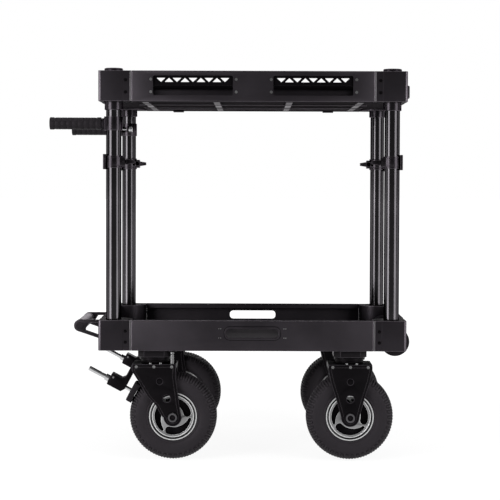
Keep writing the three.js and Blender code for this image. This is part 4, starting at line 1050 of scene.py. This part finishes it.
# Near-black finish for the inside of the rim, its web and the axle sockets: painted shade.
rim_shade = finish(
    "rim_painted_shade", (0.006, 0.006, 0.0062), (0.02, 0.02, 0.02), metal=0.0, roughness=0.6,
    gloss=0.1, grain=900, depth=0.00005,
)
axle_steel = finish(
    "axle_steel", (0.11, 0.11, 0.112), (0.4, 0.4, 0.4), metal=1.0, roughness=0.3, gloss=0.5,
    grain=900, depth=0.00003,
)
comma_radius, comma_fat, comma_tip, comma_start, comma_sweep = 53.4, 22.4, 8.4, 14, 97
axle_bore, axle_radius, axle_flange, axle_head = 8.4, 8, 52.3, 59.3


def comma(turn_degrees):
    """Slot with a fat round end that narrows along the rim to a round tip."""
    def at(s):
        return math.radians(comma_start + comma_sweep * s + turn_degrees)

    def polar(radius, angle):
        return (radius * math.cos(angle), radius * math.sin(angle))

    def end_point(radius, angle, half, t):
        return (radius * math.cos(angle) + half * math.cos(t),
                radius * math.sin(angle) + half * math.sin(t))

    points = [polar(comma_radius, at(i / 24)) for i in range(25)]
    for i in range(1, 8):
        t = at(1) + math.pi * i / 8
        points.append(end_point(comma_radius - comma_tip / 2, at(1), comma_tip / 2, t))
    for i in range(24, 0, -1):
        width = comma_fat + (comma_tip - comma_fat) * (i / 24) ** 2.2
        points.append(polar(comma_radius - width, at(i / 24)))
    for i in range(1, 12):
        t = at(0) - math.pi + math.pi * i / 12
        points.append(end_point(comma_radius - comma_fat / 2, at(0), comma_fat / 2, t))
    return points


for side, end in corner_names:
    spot = middle(f"tyre_{side}_{end}")
    wheel_turn = 0 if end == "left" else -29.5
    half_barrel = [(62.4, -22), (64.4, -22), (65.4, -32), (66.2, -33), (69, -33), (70, -32)]
    barrel = half_barrel + [(r, -h) for r, h in reversed(half_barrel)]
    shells = [(turned(barrel, spot, "y", 120, wear_and_highlight=(3, 4, 6, 7)), rim_bright)]
    for face in (-1, 1):
        lip = [(57.6, 30), (57.6, 31.4), (58.4, 32), (60.6, 32), (61.2, 31.4), (61.2, 30)]
        lip = [(r, face * h) for r, h in lip]
        shells.append((turned(lip, spot, "y", 96, wear_and_highlight=(1, 2, 3)), rim_bright))
        loops = [circle(0, 0, 61.2, 96), circle(0, 0, axle_bore, 32)]
        loops += [comma(wheel_turn - 120 * k) for k in range(3)]
        shells.append((sawn(loops, *outward(face, 26.5, 30.6), 0.8, "y", spot), rim_bright))
        boss = [(axle_bore, 20), (25, 20), (25, 32), (24, 33), (axle_bore, 33)]
        shells.append((turned([(r, face * h) for r, h in boss], spot, "y", 64), rim_bright))
    # Painted shade: a near-black lining inside the barrel.
    lining = [(60.8, -26), (63.4, -26), (63.4, 26), (60.8, 26)]
    shells.append((turned(lining, spot, "y", 96), rim_shade))
    # Painted shade: the web between the faces is near-black.
    half_web = [(axle_bore, -22), (21, -22), (21, -9), (61.95, -9)]
    web = half_web + [(r, -h) for r, h in reversed(half_web)]
    shells.append((turned(web, spot, "y", 96), rim_shade))
    made(f"wheel_rim_{side}_{end}_casting", shells, f"wheel_{side}_{end}", "silver",
         f"wheel_rim_{side}_{end}")

    floor = axle_head - 5
    half = [(axle_radius, 33.3), (12.5, 33.3), (12.5, 45.7), (axle_radius, 45.7),
            (axle_radius, axle_flange), (13.2, axle_flange), (14, axle_flange + 0.8),
            (14, axle_head - 2), (12.6, axle_head), (8.6, axle_head), (8.2, axle_head - 0.6),
            (8.2, floor), (0, floor)]
    profile = [(r, -h) for r, h in reversed(half)] + half
    shells = [(turned(profile, spot, "y", 48), axle_steel)]
    # Painted shade: a near-black disc in the recessed end of the axle.
    for y in (-1, 1):
        near, far = y * (axle_head - 4.6), y * (axle_head - 5.4)
        socket = [(0, near), (8.15, near), (8.15, far), (0, far)]
        shells.append((turned(socket, spot, "y", 32), rim_shade))
    made(f"wheel_axle_{side}_{end}_bolt", shells, f"swivel_{side}" if end == "left" else "frame",
         "steel", f"wheel_axle_{side}_{end}")

# ---- Caster forks and heads ----
# Plate forks under a thick crown, powder coated black: rigid ones at the right end, and at
# the left swivel ones that trail, with a bearing head above, a lock pin and a push brake.
# The powder coat's lighter edge colour is a painted highlight on the plates' eased edges.
fork_black = finish(
    "powder_coat", (0.0024, 0.0023, 0.0025), (0.05, 0.05, 0.052), metal=0.0, roughness=0.40,
    gloss=0.07, grain=2200, depth=0.0001,
)
pin_steel = finish(
    "polished_pin", (0.17, 0.17, 0.172), (0.3, 0.3, 0.3), metal=1.0, roughness=0.22, gloss=0.5,
    grain=900, depth=0.00002,
)
# The block's lighter edge colour is a painted highlight on its corners.
block_black = finish(
    "mount_block", (0.007, 0.007, 0.0072), (0.06, 0.06, 0.062), metal=0.2, roughness=0.40,
    gloss=0.12, grain=2200, depth=0.0001,
)
# A lighter coat for the raised lines on the fork plates: a painted highlight.
fork_line_highlight = finish(
    "raised_line_highlight", (0.011, 0.011, 0.0113), (0.06, 0.06, 0.06), metal=0.3, roughness=0.42,
    gloss=0.2, grain=2200, depth=0.0001,
)
crown_top, crown_thickness, crown_side = 153.5, 13.5, 49
fork_inside, fork_outside, eye_radius = 46, 52, 26
hub_height, trail, tyre_radius = 127, 54, 127
rigid_shares = [(0.893, 1), (0.672, 0.8), (0.362, 0.4), (0.078, 0.08)]
left_shares = [(0.873, 1), (0.39, 0.5), (0.234, 0.25), (0.02, 0.06)]
right_shares = [(0.778, 1.1), (0.452, 0.69), (0.219, 0.41)]
upper_hole, lower_hole = (103.9, 9), (54.2, 11)
head_half, head_flat, head_height, block_height = 48, 29, 39.5, 19.5
pin_radius, pin_hole, pin_angle = 5.6, 5.9, math.radians(-35)
pin_distance = math.hypot(head_half, head_flat) + 1 + pin_radius
pin_x, pin_y = pin_distance * math.cos(pin_angle), pin_distance * math.sin(pin_angle)
crown_half = pin_x + pin_radius + 6.6


def fork_plate(left_end, right_end, left, right, growth=0.0):
    """Outline of a fork's side, from (share of height, share of width) down each edge."""
    points = [(right_end - growth, crown_top - growth), (left_end + growth, crown_top - growth)]
    points += [(-eye_radius + (left_end + eye_radius) * s + growth, h * crown_top)
               for h, s in left]
    r = eye_radius - growth
    turns = [math.pi + math.pi * i / 20 for i in range(21)]
    points += [(r * math.cos(t), r * math.sin(t)) for t in turns]
    points += [(eye_radius + (right_end - eye_radius) * s - growth, h * crown_top)
               for h, s in reversed(right)]
    return softened(points, 5, 3)


def fork_shells(left_end, right_end, left, right, holes, spot, crown_gap, pin_loops=()):
    """Two side plates, each with a raised line painted lighter as a highlight and its upper hole
    closed by a dark plug as painted shade, and the crown.
    """
    shells = []
    outline = (left_end, right_end, left, right)
    for face in (-1, 1):
        loops = [fork_plate(*outline), circle(0, 0, 8.3, 32)]
        loops += [circle(x, z, r) for x, z, r in holes]
        side_y = outward(face, fork_inside, fork_outside)
        shells.append((sawn(loops, *side_y, 1.2, "y", spot), fork_black))
        line = [fork_plate(*outline, 7.5), fork_plate(*outline, 9.1)]
        line_y = outward(face, fork_outside - 0.5, fork_outside + 0.5)
        shells.append((sawn(line, *line_y, 0.3, "y", spot), fork_line_highlight))
        # Painted shade: a dark plug just inside the upper hole stands for the shade in it.
        x, z, r = holes[0]
        shade_plug_y = outward(face, fork_inside + 1, fork_outside - 3)
        shells.append((sawn([circle(x, z, r + 0.2)], *shade_plug_y, 0.4, "y", spot), fork_black))
    crown = softened(box_points((left_end, right_end), (-crown_side, crown_side)), 2, 3)
    crown_low, crown_high = crown_top - crown_thickness, crown_top - crown_gap
    crown = sawn([crown, *pin_loops], crown_low, crown_high, 1.0, "z", spot)
    shells.append((crown, fork_black))
    return shells


def head_shells(place, low):
    """Eight-sided mounting block whose corner faces take the lighter edge colour as a painted
    highlight, over the turned race of the bearing.
    """
    quarter = [(head_half, head_flat), (head_flat, head_half)]
    octagon = quarter + [(-x, y) for x, y in reversed(quarter)]
    octagon += [(-x, -y) for x, y in octagon]
    under = head_height - block_height
    race = [(0, low), (37, low), (39, low + 1), (40, low + 3), (40, 8.6), (38.6, 9),
            (38.6, 10.2), (45, 11.4), (45, under - 2), (43, under + 0.2), (0, under + 0.2)]
    block = sawn([softened(octagon, 3.5, 3)], under, head_height - 0.3, 1.6, "z", place)
    block.normal_update()
    # Painted highlight: the block's corner faces take the lighter edge colour.
    rub_and_highlight = block.faces.layers.float["wear_and_highlight"]
    for face in block.faces:
        lean = abs(face.normal.x), abs(face.normal.y)
        if abs(face.normal.z) < 0.1 and min(lean) > 0.15 and abs(lean[0] - lean[1]) > 0.2:
            face[rub_and_highlight] = 1.0
    return [(block, block_black), (turned(race, place, "z", 72), fork_black)]


for side in ("front", "back"):
    spot = middle(f"tyre_{side}_right")
    spot.z = hub_height * mm
    holes = [(0, *upper_hole), (0, *lower_hole)]
    shells = fork_shells(
        -crown_half, crown_half, rigid_shares, rigid_shares, holes, spot, crown_gap=0.05
    )
    shells += head_shells(spot + Vector((0, 0, crown_top * mm)), -0.3)
    made(f"rigid_fork_{side}_weldment", shells, "frame", "cast", f"rigid_fork_{side}")

brake_silver = finish(
    "push_rod", (0.60, 0.60, 0.61), (0.8, 0.8, 0.8), metal=1.0, roughness=0.25, gloss=0.5,
    grain=1100, depth=0.00003,
)
swing = math.radians(28)
crown_end, crown_middle = -trail - crown_half, crown_top - crown_thickness / 2
arm_near = crown_end * math.cos(swing) - crown_middle * math.sin(swing) + 12
arm_far, block_near = arm_near - 15, arm_near - 8
block_far = block_near - 46.5
arm_top = crown_end * math.sin(swing) + crown_middle * math.cos(swing) + crown_thickness
pad_face = -(tyre_radius / math.cos(math.pi / 24) + 0.8)
pad_radius, pad_half, pad_depth, brake_line = 127.6, 28.5, 15.3, 5
brake_turn = Matrix.Rotation(swing, 4, "Y")


def swung(shell, spot):
    """Shell made round the hub in the brake's own frame, turned to its place on the fork."""
    bmesh.ops.transform(shell, matrix=Matrix.Translation(spot) @ brake_turn, verts=shell.verts)
    return shell


for side in ("front", "back"):
    spot = middle(f"tyre_{side}_left")
    spot.z = hub_height * mm
    swivel = spot + Vector((-trail * mm, 0, crown_top * mm))
    holes = [(-0.7 * trail, *upper_hole), (-0.32 * trail, *lower_hole)]
    pin_loops = [circle(-trail, 0, 10.4, 32), circle(-trail + pin_x, pin_y, pin_hole, 24)]
    shells = fork_shells(
        -trail - crown_half, -trail + crown_half, left_shares, right_shares, holes, spot,
        crown_gap=0, pin_loops=pin_loops,
    )
    block_low = brake_line + 3 - 18.5
    block_top = block_low + 37
    bracket = [(arm_near, block_low + 12), (arm_near, arm_top - 6), (arm_far, arm_top - 14),
               (arm_far, block_top + 8), (arm_far - 8, block_top), (block_far, block_top),
               (block_far, block_low), (block_near, block_low)]
    bracket = softened(bracket, [4, 1, 1, 9, 0.1, 4, 4, 4], 5)
    shells.append((swung(sawn([bracket], -17, 17, 1.3, "y"), spot), fork_black))
    made(f"swivel_fork_{side}_weldment", shells, f"swivel_{side}", "cast", f"swivel_fork_{side}")

    shells = head_shells(swivel, 0.3)
    kingpin = [(0, -19.8), (14, -19.8), (15, -18.8), (15, -13.8), (10, -13.8), (10, 3.3),
               (0, 3.3)]
    shells.append((turned(kingpin, swivel, "z", 40), axle_steel))
    tab = box_points((0, pin_distance + 10), (-12, 12))
    tab = [(x * math.cos(pin_angle) - y * math.sin(pin_angle),
            x * math.sin(pin_angle) + y * math.cos(pin_angle)) for x, y in tab]
    tab = [softened(tab, [0, 5, 5, 0], 4), circle(pin_x, pin_y, pin_hole, 24)]
    tab = sawn(tab, head_height - 4, head_height - 0.4, 0.6, "z", swivel)
    shells.append((tab, fork_black))
    made(f"swivel_head_{side}_bearing", shells, "frame", "cast", f"swivel_head_{side}")

    low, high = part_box(f"lock_pin_{side}")
    pin_place = Vector(((low.x + high.x) / 2, (low.y + high.y) / 2, low.z))
    tall = (high.z - low.z) / mm
    groove = pin_radius - 1.2
    profile = [(0, 0), (pin_radius - 1, 0), (pin_radius, 1), (pin_radius, tall - 9),
               (groove, tall - 8.4), (groove, tall - 7), (pin_radius, tall - 6.4),
               (pin_radius, tall - 1), (pin_radius - 1, tall), (0, tall)]
    made(f"lock_pin_{side}_pin", [(turned(profile, pin_place, "z", 32), pin_steel)],
         f"lock_pin_{side}", "bright", f"lock_pin_{side}")

    back = pad_face - pad_depth
    stop_near, stop_far = block_far - 0.3, block_far - 12.3
    bar_far = stop_far - 54
    pad = [(back, brake_line + pad_half), (back, brake_line - pad_half)]
    for i in range(-8, 9):
        z = brake_line + pad_half * i / 8
        pad.append((-math.sqrt(pad_radius ** 2 - z ** 2), z))
    pad = softened(pad, [5.5, 5.5] + [1.5] + [0] * 15 + [1.5], 4)
    line = Vector((0, 0, brake_line * mm))
    rod = [(0, bar_far), (5.6, bar_far), (6.8, bar_far + 1.2), (6.8, stop_far - 16),
           (6.2, stop_far - 15.4), (6.2, stop_far - 12), (6.8, stop_far - 11.4),
           (6.8, stop_far), (9.2, stop_far), (10, stop_far + 0.8), (10, stop_near - 0.8),
           (9.2, stop_near), (5.5, stop_near), (5.5, back + 4), (0, back + 4)]
    shells = [
        (swung(sawn([pad], -30, 30, 1.4, "y"), spot), grip_rubber),
        (swung(turned(rod, line, "x", 40), spot), brake_silver),
    ]
    made(f"brake_plunger_{side}_rod", shells, f"brake_{side}", "bright", f"brake_plunger_{side}")

# ---- Screws ----
# Socket head screws that hold the rails in the corners, the lattices behind the windows and
# the plates on the crowns, and set screws in the sleeves. Placed by one tree of nodes.
screw_black = finish(
    "recessed_screw", (0.0015, 0.0015, 0.0015), (0.01, 0.01, 0.01), metal=0.0, roughness=0.5,
    gloss=0.06, grain=1500, depth=0.00003,
)
screw_grey = finish(
    "zinc_screw", (0.26, 0.26, 0.263), (0.6, 0.6, 0.6), metal=1.0, roughness=0.35, gloss=0.5,
    grain=1500, depth=0.00003,
)


def screw_tree():
    """Nodes that put a socket head screw on each point, facing the way the point says. Each
    head is one closed solid: a ring and its walls stand on a foot as thick as the share of
    the height that the socket leaves."""
    floor_share = 0.3
    sizes = ("Head Radius", "Head Height", "Socket Radius")
    tree, given = repeating_tree("socket_screws", *((size, "Float") for size in sizes))
    outer = added(tree, "GeometryNodeCurvePrimitiveCircle", Resolution=20)
    inner = added(tree, "GeometryNodeCurvePrimitiveCircle", Resolution=6)
    both, head = (added(tree, "GeometryNodeJoinGeometry") for _ in range(2))
    ring, floor, base = (added(tree, "GeometryNodeFillCurve") for _ in range(3))
    raised, foot = (added(tree, "GeometryNodeExtrudeMesh", Individual=False) for _ in range(2))
    flipped = added(tree, "GeometryNodeFlipFaces")
    weld = added(tree, "GeometryNodeMergeByDistance", Distance=0.001 * mm)
    lift, seated = added(tree, "ShaderNodeCombineXYZ"), added(tree, "GeometryNodeTransform")
    facing = added(tree, "GeometryNodeInputNamedAttribute", Name="facing")
    facing.data_type = "FLOAT_VECTOR"
    turn = added(tree, "FunctionNodeAlignRotationToVector")
    turn.axis = "Z"
    risen, sunk, lifted = (reckoned(tree, "MULTIPLY", given["Head Height"], share)
                           for share in (1 - floor_share, -floor_share, floor_share))
    wire(
        tree,
        (given["Head Radius"], outer.inputs["Radius"]),
        (given["Socket Radius"], inner.inputs["Radius"]),
        (outer.outputs[0], both.inputs[0]),
        (inner.outputs[0], both.inputs[0]),
        (both.outputs[0], ring.inputs[0]),
        (inner.outputs[0], floor.inputs[0]),
        (outer.outputs[0], base.inputs[0]),
        (ring.outputs[0], raised.inputs["Mesh"]),
        (risen, raised.inputs["Offset Scale"]),
        (base.outputs[0], foot.inputs["Mesh"]),
        (sunk, foot.inputs["Offset Scale"]),
        (foot.outputs["Mesh"], flipped.inputs[0]),
        (raised.outputs["Mesh"], head.inputs[0]),
        (floor.outputs[0], head.inputs[0]),
        (flipped.outputs[0], head.inputs[0]),
        (head.outputs[0], weld.inputs[0]),
        (weld.outputs[0], seated.inputs["Geometry"]),
        (lifted, lift.inputs["Z"]),
        (lift.outputs[0], seated.inputs["Translation"]),
        (facing.outputs[0], turn.inputs["Vector"]),
    )
    end_with_copies(
        tree, given["Geometry"], seated.outputs[0], turn.outputs[0], given["Finish"]
    )
    return tree


socket_screws = screw_tree()


def screws(name, places, radius, height, socket, paint, body):
    """Screw heads at places given as (point, facing)."""
    mesh = bpy.data.meshes.new("points")
    mesh.from_pydata([tuple(point) for point, _ in places], [], [])
    facing = mesh.attributes.new("facing", "FLOAT_VECTOR", "POINT")
    for value, (_, way) in zip(facing.data, places):
        value.vector = way
    settings = {"Head Radius": radius * mm, "Head Height": height * mm,
                "Socket Radius": socket * mm, "Finish": paint}
    return repeated(name, mesh, socket_screws, settings, body)


flange_places, sleeve_places = [], []
for side, end in corner_names:
    ex, sy = end_sign[end], side_sign[side]
    post_axis = middle(f"post_{side}_{end}")
    inward = (corner_length - post_inset - screw_inset) * mm
    for base_height, heights in ((shelf_low, (25, 57)), (shelf_high, (26, 61))):
        for z in heights:
            height = base_height + z * mm
            side_face = sy * (half_width - flange_step) * mm
            side_point = Vector((post_axis.x - ex * inward, side_face, height))
            flange_places.append((side_point, (0, sy, 0)))
            end_face = post_axis.x + ex * (post_inset - flange_step) * mm
            end_point = Vector((end_face, post_axis.y - sy * inward, height))
            flange_places.append((end_point, (ex, 0, 0)))
    for angle in (math.radians(-60), math.radians(60)):
        way = Vector((math.sin(angle), sy * math.cos(angle), 0))
        ring_centre = Vector((post_axis.x, post_axis.y, shelf_high - 10 * mm))
        sleeve_places.append((ring_centre + way * 26.3 * mm, way))
screws("corner_screws", flange_places, 4.8, 1.3, 2.6, screw_black, "frame")
screws("sleeve_screws", sleeve_places, 2.6, 0.5, 1.4, screw_steel, "frame")

window_places = []
for x0 in (-window_centre, window_centre):
    for dx in (-window_length / 2 - 6, window_length / 2 + 9.5):
        for z in (27, 63):
            point = upper + Vector(((x0 + dx) * mm, -half_width * mm, z * mm))
            window_places.append((point, (0, -1, 0)))
screws("window_screws", window_places, 4.2, 0.7, 2.9, screw_grey, "frame")

bezel_places = []
for sy in (-1, 1):
    for dx in (-91, -96.5, 91, 96.5):
        for z in (38, 64.5):
            point = lower + Vector((dx * mm, sy * half_width * mm, z * mm))
            bezel_places.append((point, (0, sy, 0)))
screws("bezel_screws", bezel_places, 1.5, 0.5, 0.8, screw_grey, "frame")

crown_height = hub_height + crown_top
deck_places = []
for side in ("front", "back"):
    for end, body in (("left", f"swivel_{side}"), ("right", "frame")):
        spot = middle(f"tyre_{side}_{end}")
        shift = -trail if end == "left" else 0
        places = []
        for sy in (-1, 1):
            for dx in (-51, 0, 51):
                point = Vector((spot.x + (shift + dx) * mm, spot.y + sy * fork_outside * mm,
                                (crown_height - 7) * mm))
                places.append((point, (0, sy, 0)))
        screws(f"crown_screws_{side}_{end}", places, 4.2, 0.9, 2.3, screw_grey, body)
        places = []
        for dx in (-10.5, 18.5):
            for dy in (-44.3, 44.3):
                point = Vector((spot.x + (shift + dx) * mm, spot.y + dy * mm,
                                (crown_height - 0.1) * mm))
                places.append((point, (0, 0, 1)))
        screws(f"crown_bolts_{side}_{end}", places, 4, 4, 2.2, screw_grey, body)
        for dx in (-36, 36):
            for dy in (-30, 30):
                point = Vector((spot.x + (shift + dx) * mm, spot.y + dy * mm,
                                shelf_low + 8.3 * mm))
                deck_places.append((point, (0, 0, 1)))
    spot = middle(f"tyre_{side}_left")
    spot.z = hub_height * mm
    places = []
    for sy in (-1, 1):
        point = spot + brake_turn @ Vector(((block_far + 9) * mm, sy * 17 * mm, 16 * mm))
        places.append((point, (0, sy, 0)))
    screws(f"brake_screws_{side}", places, 2.8, 0.8, 1.4, screw_grey, f"swivel_{side}")
screws("caster_mount_bolts", deck_places, 6.5, 5.5, 3.2, screw_grey, "frame")

low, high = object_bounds()
